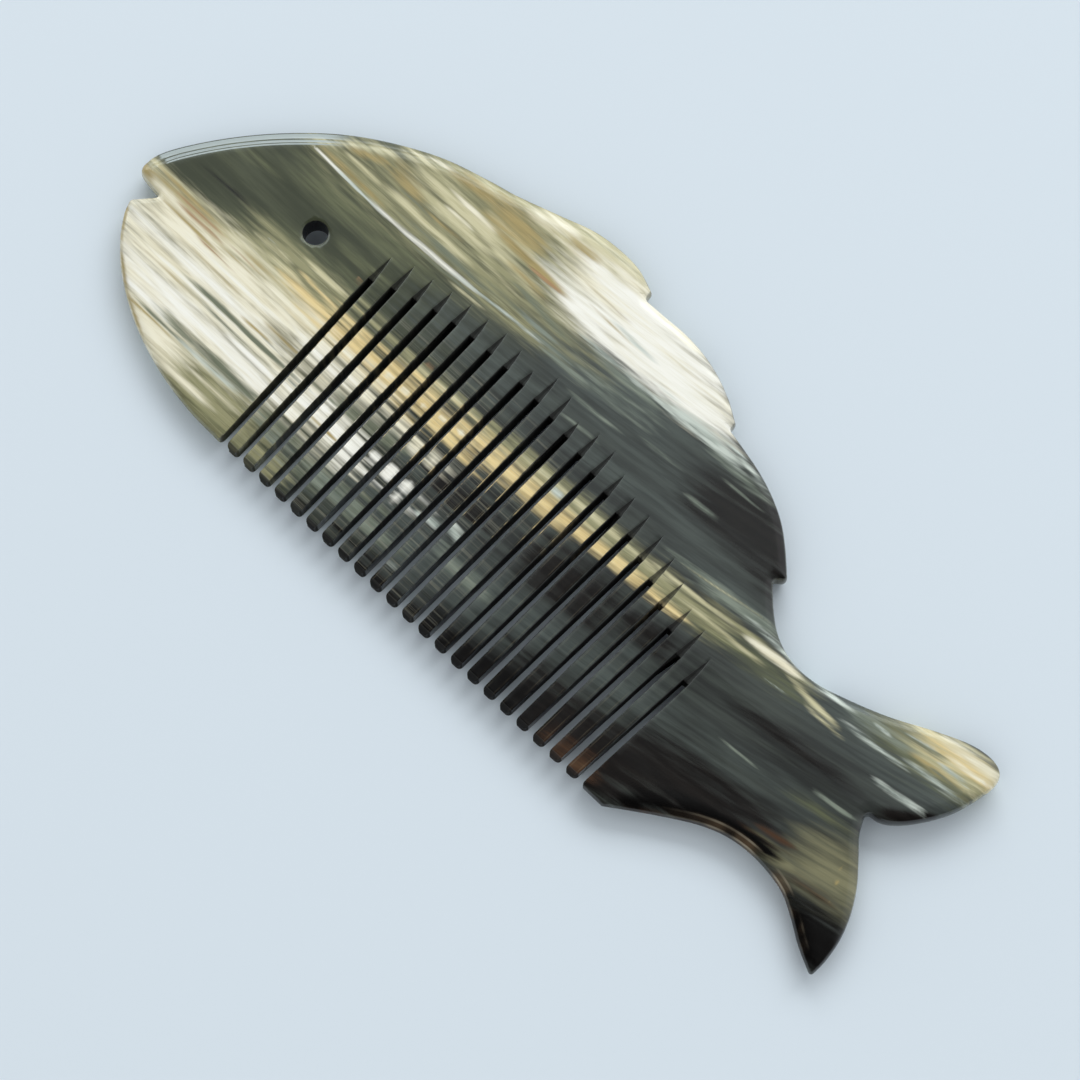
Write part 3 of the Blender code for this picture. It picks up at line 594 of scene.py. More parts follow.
@dataclass(frozen=True)
class Teeth:
    """The row of slots that leaves the teeth, and how the grinding wheel breaks their edges.

    Attributes:
        root_x: Where the first and the last slot end.
        mouth_x: Where they open at the tooth line.
        crown: The top of the arc that the slots end on.
        radius_head: The arc's radius on the head's side of the crown.
        radius_tail: Its radius on the tail's side.
        width_at_root: The slot's width at its end.
        width_at_mouth: Its width at the tooth line.
        tip_radius: The rounding of the tooth tips.
        tip_turn: How far round a tip it goes, in degrees.
        tip_points: The points on it.
        bevel: The width of the wheel's bevel.
        lip_slope: How steeply the bevel starts at the face.
        groove_slope: How steep it is further in.
        lip_share: The share of the groove's half width that the lip leaves.
        run_out_edge: How far a run-out is wider than its slot, on each side.
        run_outs: How far each groove runs on past its slot, from the head to the tail.
        run_out_sections: Where along a run-out its sections lie, as shares of its length.
        least_half_width: The half width that a groove's section keeps where the wheel is clear.
        overrun: How far the cutters reach past the tooth line.
        clearance: How far they stand above the face.
    """

    root_x: Point = (-39.4, 36.2)
    mouth_x: Point = (-37.3, 34.9)
    crown: Point = (-19.2, 6.1)
    radius_head: float = 52.0
    radius_tail: float = 103.0
    width_at_root: float = 1.0
    width_at_mouth: float = 1.35
    tip_radius: float = 0.8
    tip_turn: float = 78.0
    tip_points: int = 9
    bevel: float = 0.17
    lip_slope: float = 0.42
    groove_slope: float = 0.62
    lip_share: float = 0.76
    run_out_edge: float = 0.04
    run_outs: tuple[float, ...] = (
        4.7, 4.8, 4.2, 3.9, 4.0, 3.7, 3.9, 3.5, 2.6, 4.7, 4.6, 2.8,
        4.3, 4.8, 4.0, 3.6, 4.2, 4.7, 4.9, 4.9, 4.5, 5.4, 4.9,
    )
    run_out_sections: tuple[float, ...] = (0.2, 0.4, 0.58, 0.74, 0.88, 0.97, 1.06)
    least_half_width: float = 0.02
    overrun: float = 2.0
    clearance: float = 0.3

    @property
    def count(self) -> int:
        """How many slots there are."""
        return len(self.run_outs)

    def root_y(self, x: Array) -> Array:
        """The arc that the slots end on.

        Args:
            x: Places along the comb.

        Returns:
            The arc's height at each.
        """
        across = x - self.crown[0]
        radius = np.where(across > 0, self.radius_tail, self.radius_head)
        return self.crown[1] - radius + np.sqrt(np.maximum(radius**2 - across**2, 0.0))

    def row(self) -> tuple[Array, Array, Array]:
        """Where the slots end along the comb, how high they end, and where they open."""
        roots, mouths = (np.linspace(*ends, self.count) for ends in (self.root_x, self.mouth_x))
        return roots, self.root_y(roots), mouths

    def slots(self) -> list[tuple[Vector, float, float]]:
        """Every slot in the row.

        Returns:
            Each one's end point, lean and length.
        """
        slots = []
        for x, y, mouth in zip(*self.row()):
            lean = math.atan2(mouth - x, y - TOOTH_LINE_Y)
            slots.append((Vector((x, y, 0.0)), lean, (y - TOOTH_LINE_Y) / math.cos(lean)))
        return slots

    def slot_number(self, places: Array) -> Array:
        """Where places lie in the row: 0 is the first slot's middle line, and 1 the second's.

        Args:
            places: Points in the drawing.

        Returns:
            Their place in the row, running on past both ends.
        """
        roots, ends, mouths = self.row()
        share = (ends[None] - places[:, 1:2]) / (ends[None] - TOOTH_LINE_Y)
        lines = roots[None] + (mouths - roots)[None] * share
        first = np.clip((lines <= places[:, 0:1]).sum(axis=1) - 1, 0, self.count - 2)
        rows = np.arange(len(places))
        left, right = lines[rows, first], lines[rows, first + 1]
        return first + (places[:, 0] - left) / (right - left)


LAST_SLOT = Teeth().count - 1


@dataclass(frozen=True)
class CombPlate:
    """The comb's one piece of horn: outline, rounded edge, slots, tooth bevels and eye.

    Attributes:
        outline: The closed outline.
        teeth: The slots between the teeth.
        back_thickness: The thickness over the back.
        tip_thickness: The thickness at the tooth tips.
        thinning_starts_y: Where the plate starts to thin towards the tips.
        edge_rings: Rings of faces over the rounded edge.
        edge_slope: How steep the filed slope is at the rim.
        edge_curve: How it eases into the side.
        edge_drop: The most that it takes off, as a share of half the thickness.
        edge_round: The rounding of the rim itself.
        ridge_share: Where the plate is narrow, its rings stop at this share of the way to its ridge.
        upper_cell: The size of the faces on the upper side, along and across the grain.
        lower_cell: The same on the lower side.
        merge: Points nearer than this are one.
        crease_room: How far before a slot's end the thinning has to start to kink its groove.
        sharp_angle: Edges that turn by more than this stay crisp, in degrees.
        eye_centre: Where the eye is drilled.
        eye_diameter: The drill's diameter.
        countersink: The width of the eye's countersink, and its depth.
        eye_facets: How many faces the drill has.
    """

    outline: Outline = Outline()
    teeth: Teeth = Teeth()
    back_thickness: float = 4.2
    tip_thickness: float = 2.6
    thinning_starts_y: float = -6.0
    edge_rings: int = 12
    edge_slope: float = 0.9
    edge_curve: float = 2.3
    edge_drop: float = 0.72
    edge_round: float = 0.32
    ridge_share: float = 0.9
    upper_cell: Point = (1.0, 0.18)
    lower_cell: Point = (1.6, 0.6)
    merge: float = 0.0001
    crease_room: float = 0.5
    sharp_angle: float = 30.0
    eye_centre: Point = (-50.7, 1.5)
    eye_diameter: float = 3.9
    countersink: Point = (0.35, 0.16)
    eye_facets: int = 96

    def half_thickness(self, y: Array) -> Array:
        """Half the plate's thickness: full over the back, less towards the tooth tips.

        Args:
            y: Heights in the drawing.

        Returns:
            Half the thickness at each.
        """
        share = np.clip((self.thinning_starts_y - y) / (self.thinning_starts_y - TOOTH_LINE_Y), 0, 1)
        return 0.5 * (self.back_thickness + (self.tip_thickness - self.back_thickness) * share)

    def build(self) -> Object:
        """Makes the finished comb, still in the drawing's millimetres.

        Returns:
            The comb's object.
        """
        plate = self.closed("uncut_plate", self.plate())
        cutters = [self.slot_saw(), self.bevel_wheel(), self.eye_drill()]
        for cutter in cutters:
            boolean = plate.modifiers.new(cutter.name, "BOOLEAN")
            boolean.operation = "DIFFERENCE"
            boolean.solver = "EXACT"
            boolean.object = cutter
        graph = bpy.context.evaluated_depsgraph_get()
        mesh = bpy.data.meshes.new_from_object(plate.evaluated_get(graph))
        for obj in (plate, *cutters):
            bpy.data.objects.remove(obj)
        mesh.shade_smooth()
        mesh.set_sharp_from_angle(angle=math.radians(self.sharp_angle))
        return add_object("comb", mesh)

    def closed(self, name: str, bm: BMesh) -> Object:
        """Adds a closed shape with its faces turned outwards."""
        bmesh.ops.recalc_face_normals(bm, faces=bm.faces)
        return add_shape(name, bm)

    def plate(self) -> BMesh:
        """The plate without its slots.

        Returns:
            Its closed shape.
        """
        points, widths = self.outline.points()
        bm = self.half_plate(points, widths, self.lower_cell)
        bmesh.ops.scale(bm, vec=(1, 1, -1), verts=bm.verts)
        lower = bpy.data.meshes.new("lower_half")
        bm.to_mesh(lower)
        bm.free()
        bm = self.half_plate(points, widths, self.upper_cell)
        bm.from_mesh(lower)
        bpy.data.meshes.remove(lower)
        rim = [v for v in bm.verts if v.co.z == 0]
        bmesh.ops.remove_doubles(bm, verts=rim, dist=self.merge)
        return bm

    def half_plate(self, points: Array, widths: Array, cell: Point) -> BMesh:
        """The upper half of the plate: rings over the rounded edge, and a side cut into cells.

        Args:
            points: The outline's points.
            widths: The edge width at each.
            cell: The size of the side's cells.

        Returns:
            The open half, with its rim at height 0.
        """
        normals = inward_normals(points)
        reach = np.minimum(widths, self.ridge_share * room_inside(points, normals))
        bm = bmesh.new()
        station = bm.verts.layers.int.new("station")
        rim = [bm.verts.new((x, y, 0.0)) for x, y in points]
        for i, vert in enumerate(rim):
            vert[station] = i
        edges = [bm.edges.new((a, b)) for a, b in zip(rim, rim[1:] + rim[:1])]
        for ring in range(1, self.edge_rings + 1):
            turn = 1 - math.cos(0.5 * math.pi * ring / self.edge_rings)
            made = bmesh.ops.extrude_edge_only(bm, edges=edges)["geom"]
            for vert in (g for g in made if isinstance(g, BMVert)):
                i = vert[station]
                vert.co.xy = points[i] + normals[i] * reach[i] * turn
            edges = [g for g in made if isinstance(g, BMEdge)]
        side = bmesh.ops.contextual_create(bm, geom=edges)["faces"]
        low, high = points.min(axis=0), points.max(axis=0)
        for axis, crease in enumerate((0.0, self.thinning_starts_y)):
            first = math.ceil((low[axis] - crease) / cell[axis])
            last = math.floor((high[axis] - crease) / cell[axis])
            planes = [crease + number * cell[axis] for number in range(first, last + 1)]
            side = self.cut_by_planes(bm, side, axis, planes)
        self.raise_side(bm, set(rim), points, widths)
        return bm

    def cut_by_planes(
        self, bm: BMesh, faces: list[BMFace], axis: int, planes: list[float]
    ) -> list[BMFace]:
        """Cuts flat faces by parallel planes, the middle plane first and then each half by its own.

        Args:
            bm: The bmesh.
            faces: The faces to cut.
            axis: 0 for planes across X, 1 for planes across Y.
            planes: Their places on that axis, in rising order.

        Returns:
            The cut faces.
        """
        if not planes or not faces:
            return faces
        half = len(planes) // 2
        normal = Vector((axis == 0, axis == 1, 0))
        # Kept in the faces' order, so that the mesh comes out the same each run
        edges = dict.fromkeys(e for f in faces for e in f.edges)
        verts = dict.fromkeys(v for f in faces for v in f.verts)
        made = bmesh.ops.bisect_plane(
            bm,
            geom=[*faces, *edges, *verts],
            dist=self.merge,
            plane_co=normal * planes[half],
            plane_no=normal,
        )["geom"]
        cut = [(f.calc_center_median()[axis] < planes[half], f) for f in made if isinstance(f, BMFace)]
        lower = self.cut_by_planes(bm, [f for below, f in cut if below], axis, planes[:half])
        upper = self.cut_by_planes(bm, [f for below, f in cut if not below], axis, planes[half + 1 :])
        return lower + upper

    def raise_side(self, bm: BMesh, rim: set[BMVert], points: Array, widths: Array) -> None:
        """Raises every point to its height: a filed slope over the edge, flat inside it.

        Args:
            bm: The bmesh, lying flat.
            rim: The points of the rim, which stay down.
            points: The outline's points.
            widths: The edge width at each.
        """
        verts = [v for v in bm.verts if v not in rim]
        places = np.array([tuple(v.co.xy) for v in verts])
        distance, width = nearest_on_outline(places, points, widths)
        half = self.half_thickness(places[:, 1])
        outward = 1 - np.minimum(distance / width, 1)
        drop = np.minimum(self.edge_slope * width / self.edge_curve, self.edge_drop * half)
        rim_round = np.sqrt(1 - (1 - np.minimum(distance / self.edge_round, 1)) ** 2)
        for vert, height in zip(verts, (half - drop * outward**self.edge_curve) * rim_round):
            vert.co.z = height

    def slot_saw(self) -> Object:
        """The saw cuts: square at their ends, wider at their mouths, where they round the tooth tips.

        Returns:
            The cutter.
        """
        teeth = self.teeth
        root, mouth = 0.5 * teeth.width_at_root, 0.5 * teeth.width_at_mouth
        bm = bmesh.new()
        for end, lean, length in teeth.slots():
            side = [(root, 0.0)]
            for angle in np.radians(np.linspace(0.0, teeth.tip_turn, teeth.tip_points)):
                x = mouth + teeth.tip_radius * (1 - math.cos(angle))
                side.append((x, -length + teeth.tip_radius * (1 - math.sin(angle))))
            side.append((mouth + teeth.tip_radius, -length - teeth.overrun))
            plan = side + [(-x, y) for x, y in reversed(side)]
            face = bm.faces.new([bm.verts.new((x, y, -self.back_thickness)) for x, y in plan])
            made = bmesh.ops.extrude_face_region(bm, geom=[face])["geom"]
            raised = [g for g in made if isinstance(g, BMVert)]
            bmesh.ops.translate(bm, vec=(0, 0, 2 * self.back_thickness), verts=raised)
            self.place(bm, list(face.verts) + raised, end, lean)
        return self.closed("slot_saw", bm)

    def bevel_wheel(self) -> Object:
        """The wheel's V-grooves in both sides, each lifting off past its slot in a slim lens.

        Returns:
            The cutter.
        """
        teeth = self.teeth
        bm = bmesh.new()
        bm.verts.layers.int.new("corner")
        for (end, lean, length), run_out in zip(teeth.slots(), teeth.run_outs):
            crease = (end.y - self.thinning_starts_y) / math.cos(lean)
            kink = [crease] if crease > self.crease_room else []
            backs = [length + teeth.overrun, *kink, 0.0]
            backs += [-run_out * share for share in teeth.run_out_sections]
            for side in (1, -1):
                self.add_groove(bm, backs, side, (end, lean, length, run_out))
        return self.closed("bevel_wheel", bm)

    def add_groove(
        self, bm: BMesh, backs: list[float], side: int, slot: tuple[Vector, float, float, float]
    ) -> None:
        """One groove cutter: a V-shaped rim drawn out along the slot and closed at its end.

        Args:
            bm: The bmesh to add it to.
            backs: How far before the slot's end each section of it lies.
            side: 1 for the upper side, -1 for the lower.
            slot: The slot's end point, lean, length and run-out.
        """
        end, lean, length, run_out = slot
        teeth = self.teeth
        clear = teeth.clearance
        corner = bm.verts.layers.int["corner"]
        edges, verts = [], []
        for back in backs:
            half_width = self.groove_half_width(back, length, run_out)
            kept_width = max(half_width, teeth.least_half_width)
            surface = float(self.half_thickness(end.y - back * math.cos(lean)))
            top = side * (surface + clear)
            lip = (1 - teeth.lip_share) * half_width * teeth.lip_slope
            bottom = lip + teeth.lip_share * half_width * teeth.groove_slope
            outer = kept_width + clear / teeth.lip_slope
            inner = teeth.lip_share * kept_width
            section = [
                Vector((-outer, -back, top)),
                Vector((outer, -back, top)),
                Vector((inner, -back, side * (surface - lip))),
                Vector((0.0, -back, side * (surface - bottom))),
                Vector((-inner, -back, side * (surface - lip))),
            ]
            if edges:
                made = bmesh.ops.extrude_edge_only(bm, edges=edges)["geom"]
                ring = [g for g in made if isinstance(g, BMVert)]
                edges = [g for g in made if isinstance(g, BMEdge)]
            else:
                ring = [bm.verts.new(place) for place in section]
                for i, vert in enumerate(ring):
                    vert[corner] = i
                edges = list(bm.faces.new(ring).edges)
            for vert in ring:
                vert.co = section[vert[corner]]
            verts += ring
        bmesh.ops.contextual_create(bm, geom=edges)
        self.place(bm, verts, end, lean)

    def groove_half_width(self, back: float, length: float, run_out: float) -> float:
        """Half the groove's width on the face.

        Args:
            back: How far before the slot's end, or, below 0, how far past it.
            length: The slot's length.
            run_out: How far past the slot's end the groove reaches.

        Returns:
            Half the width, below 0 where the wheel is clear of the face.
        """
        teeth = self.teeth
        if back < 0:
            return (0.5 * teeth.width_at_root + teeth.run_out_edge) * (1 - (back / run_out) ** 2)
        widening = (teeth.width_at_mouth - teeth.width_at_root) * min(back / length, 1.0)
        return 0.5 * (teeth.width_at_root + widening) + teeth.bevel

    def place(self, bm: BMesh, verts: list[BMVert], end: Vector, lean: float) -> None:
        """Turns a cutter by its slot's lean and sets it at the slot's end.

        Args:
            bm: The bmesh.
            verts: The cutter's points.
            end: The slot's end point.
            lean: The slot's lean.
        """
        matrix = Matrix.Translation(end) @ Matrix.Rotation(lean, 4, "Z")
        bmesh.ops.transform(bm, matrix=matrix, verts=verts)

    def eye_drill(self) -> Object:
        """A drill with a countersink for each face, turned about its own axis.

        Returns:
            The cutter.
        """
        radius = 0.5 * self.eye_diameter
        half = 0.5 * self.back_thickness
        width, depth = self.countersink
        wide = radius + 2 * width
        profile = [(0.0, half + depth), (wide, half + depth), (radius, half - depth)]
        profile += [(r, -z) for r, z in reversed(profile)]
        bm = bmesh.new()
        verts = [bm.verts.new((r, 0.0, z)) for r, z in profile]
        edges = [bm.edges.new((a, b)) for a, b in zip(verts, verts[1:])]
        bmesh.ops.spin(
            bm,
            geom=verts + edges,
            cent=(0, 0, 0),
            axis=(0, 0, 1),
            angle=2 * math.pi,
            steps=self.eye_facets,
            use_merge=True,
        )
        bmesh.ops.remove_doubles(bm, verts=bm.verts, dist=self.merge)
        bmesh.ops.translate(bm, vec=(*self.eye_centre, 0.0), verts=bm.verts)
        return self.closed("eye_drill", bm)


@dataclass(frozen=True)
class Figure:
    """The horn's figure: where its tones lie, and which way its grain runs.

    Attributes:
        streaks: Every streak and patch.
        bend_starts_x: Where the grain starts to turn up towards the tail.
        bend: How fast it turns.
        back: The forehead, back and fins lie before this X and above this Y.
        belly: The tail's belly lies behind this X and below this Y.
        belly_turns_x: Where the belly's border starts to fall along the lower fin.
        belly_fall: How steeply it falls.
        bore_margin: How far past the drill's radius points still count as bored.
    """

    streaks: tuple[Streak, ...] = STREAKS
    bend_starts_x: float = -45.0
    bend: float = 0.00096
    back: Point = (44.0, -6.0)
    belly: Point = (43.0, -19.0)
    belly_turns_x: float = 66.0
    belly_fall: float = 0.6
    bore_margin: float = 0.02

    def mark(self, mesh: Mesh, plate: CombPlate) -> None:
        """Writes the grain, the teeth, the depth and every tone's strength onto the mesh's points.

        Args:
            mesh: The comb's mesh, in the drawing's millimetres.
            plate: The comb's shape.
        """
        teeth = plate.teeth
        flat = np.zeros(3 * len(mesh.vertices))
        mesh.vertices.foreach_get("co", flat)
        places = flat.reshape(-1, 3)
        x, y, z = places.T
        turned = y - self.bend * np.maximum(x - self.bend_starts_x, 0) ** 2
        self.write(mesh, "grain", np.stack([x, turned, z], axis=1))
        row = teeth.slot_number(places[:, :2])
        below_root = teeth.root_y(np.clip(x, *teeth.root_x)) - y
        self.write(mesh, "tooth", np.stack([row, y - TOOTH_LINE_Y, below_root], axis=1))
        self.write(mesh, "depth", plate.half_thickness(y) - np.abs(z))
        from_eye = np.hypot(x - plate.eye_centre[0], y - plate.eye_centre[1])
        bored = from_eye < 0.5 * plate.eye_diameter + self.bore_margin
        self.write(mesh, "bored", bored.astype(float))
        from_rim, _ = nearest_on_outline(places[:, :2], *plate.outline.points())
        on_back = (x < self.back[0]) & (y > self.back[1])
        fall = self.belly_fall * np.maximum(x - self.belly_turns_x, 0)
        on_belly = (x > self.belly[0]) & (y + fall < self.belly[1])
        self.write(mesh, "rim", np.stack([from_rim, on_back, on_belly], axis=1))
        for tone in Tone:
            self.write(mesh, tone.value, self.strength(places[:, :2], tone))

    def write(self, mesh: Mesh, name: str, values: Array) -> None:
        """Writes one value or vector for each of the mesh's points.

        Args:
            mesh: The mesh.
            name: The attribute's name.
            values: The values.
        """
        is_vector = values.ndim == 2
        layer = mesh.attributes.new(name, "FLOAT_VECTOR" if is_vector else "FLOAT", "POINT")
        layer.data.foreach_set("vector" if is_vector else "value", values.astype(np.float32).ravel())

    def strength(self, places: Array, tone: Tone) -> Array:
        """How strong a tone is: 1 in the middle of a full streak, a half at its border, 0 far off.

        Args:
            places: Points in the drawing.
            tone: The tone.

        Returns:
            Its strength at each point.
        """
        strongest = np.full(len(places), -1.0)
        for streak in (s for s in self.streaks if s.tone is tone):
            start, end = np.array(streak.start), np.array(streak.end)
            half_length = 0.5 * np.linalg.norm(end - start)
            along = (end - start) / (2 * half_length)
            offset = places - 0.5 * (start + end)
            lengthwise = offset @ along / half_length
            crosswise = (offset @ np.array([-along[1], along[0]])) / streak.half_width
            away = np.sqrt(crosswise**2 + lengthwise**4)
            strongest = np.maximum(strongest, streak.core - 0.5 * away)
        return strongest


class Graph:
    """A node tree, with short calls for the nodes that the finishes use."""

    def __init__(self, tree: NodeTree) -> None:
        """Starts with an empty tree."""
        self.tree = tree
        tree.nodes.clear()

    def add(self, kind: str, **settings: object) -> Node:
        """Adds a node.

        Args:
            kind: The node's type.
            settings: Its settings by name.

        Returns:
            The node.
        """
        node = self.tree.nodes.new(kind)
        for name, value in settings.items():
            setattr(node, name, value)
        return node

    def feed(self, socket: NodeSocket, value: Value) -> None:
        """Links a socket to another, or sets its value.

        Args:
            socket: The socket to feed.
            value: Another node's output, or a value.
        """
        if isinstance(value, NodeSocket):
            self.tree.links.new(value, socket)
        else:
            socket.default_value = value

    def fed(self, node: Node, values: Iterable[Value]) -> NodeSocket:
        """Feeds a node's inputs in their order.

        Args:
            node: The node.
            values: What goes in.

        Returns:
            Its first output.
        """
        for socket, value in zip(node.inputs, values):
            self.feed(socket, value)
        return node.outputs[0]

    def math(self, operation: str, *values: Value) -> NodeSocket:
        """A Math node's output."""
        return self.fed(self.add("ShaderNodeMath", operation=operation), values)

    def vector(self, operation: str, *values: Value) -> NodeSocket:
        """A Vector Math node's vector output."""
        return self.fed(self.add("ShaderNodeVectorMath", operation=operation), values)

    def times(self, *factors: Value) -> NodeSocket:
        """The factors' product."""
        return reduce(partial(self.math, "MULTIPLY"), factors)

    def off(self, value: NodeSocket, middle: float) -> NodeSocket:
        """How far a value is from a middle."""
        return self.math("ABSOLUTE", self.math("SUBTRACT", value, middle))

    def attribute(self, name: str, output: str = "Vector") -> NodeSocket:
        """What the mesh's points carry under a name."""
        return self.add("ShaderNodeAttribute", attribute_name=name).outputs[output]

    def parts(self, vector: NodeSocket) -> tuple[NodeSocket, ...]:
        """A vector's X, Y and Z."""
        x = self.fed(self.add("ShaderNodeSeparateXYZ"), (vector,))
        return tuple(x.node.outputs)

    def along(self, axis: Vector) -> NodeSocket:
        """How far places on the object lie along an axis."""
        place = self.add("ShaderNodeTexCoord").outputs["Object"]
        return self.vector("DOT_PRODUCT", place, tuple(axis)).node.outputs["Value"]

    def blend(self, share: Value, first: Value, second: Value, how: str = "MIX") -> NodeSocket:
        """A mix of two colours.

        Args:
            share: The second colour's share.
            first: The first colour.
            second: The second colour.
            how: The way they mix.

        Returns:
            The mixed colour.
        """
        node = self.add("ShaderNodeMix", data_type="RGBA", blend_type=how)
        colours = [s for s in node.inputs if s.type == "RGBA"]
        for socket, value in zip((node.inputs[0], *colours), (share, first, second)):
            self.feed(socket, value)
        return next(s for s in node.outputs if s.type == "RGBA")

    def step(self, value: NodeSocket, low: float, high: float) -> NodeSocket:
        """A smooth step from 0 at the low value to 1 at the high one, which may be the lower."""
        node = self.add("ShaderNodeMapRange", interpolation_type="SMOOTHSTEP")
        return self.fed(node, (value, low, high, 0.0, 1.0))

    def noise(self, place: NodeSocket, size: Size, shift: float, detail: float) -> NodeSocket:
        """Noise that is stretched to the given sizes.

        Args:
            place: Where it is read, in mm.
            size: The size of its blotches along each axis, in mm.
            shift: Sets one noise apart from another.
            detail: How many finer layers it has.

        Returns:
            Its value, about 0.5 on average.
        """
        scaled = self.vector("MULTIPLY", place, tuple(1 / s for s in size))
        moved = self.vector("ADD", scaled, (shift, 1.7 * shift, 0.0))
        node = self.add("ShaderNodeTexNoise", noise_dimensions="3D")
        for name, value in (("Vector", moved), ("Scale", 1.0), ("Detail", detail), ("Roughness", 0.55)):
            self.feed(node.inputs[name], value)
        return node.outputs[0]

    def end_with(self, kind: str, inputs: dict[str, Value], end: str = "ShaderNodeOutputMaterial") -> None:
        """Adds the shader and joins it to the tree's end.

        Args:
            kind: The shader's type.
            inputs: What goes into it, by name.
            end: The type of the tree's last node.
        """
        shader = self.add(kind)
        for name, value in inputs.items():
            self.feed(shader.inputs[name], value)
        self.feed(self.add(end).inputs["Surface"], shader.outputs[0])


class Finished(Graph):
    """A new material's node tree."""

    def __init__(self, name: str) -> None:
        """Makes the material, and starts with its tree empty.

        Args:
            name: The material's name.
        """
        self.material = bpy.data.materials.new(name)
        self.material.use_nodes = True
        super().__init__(self.material.node_tree)


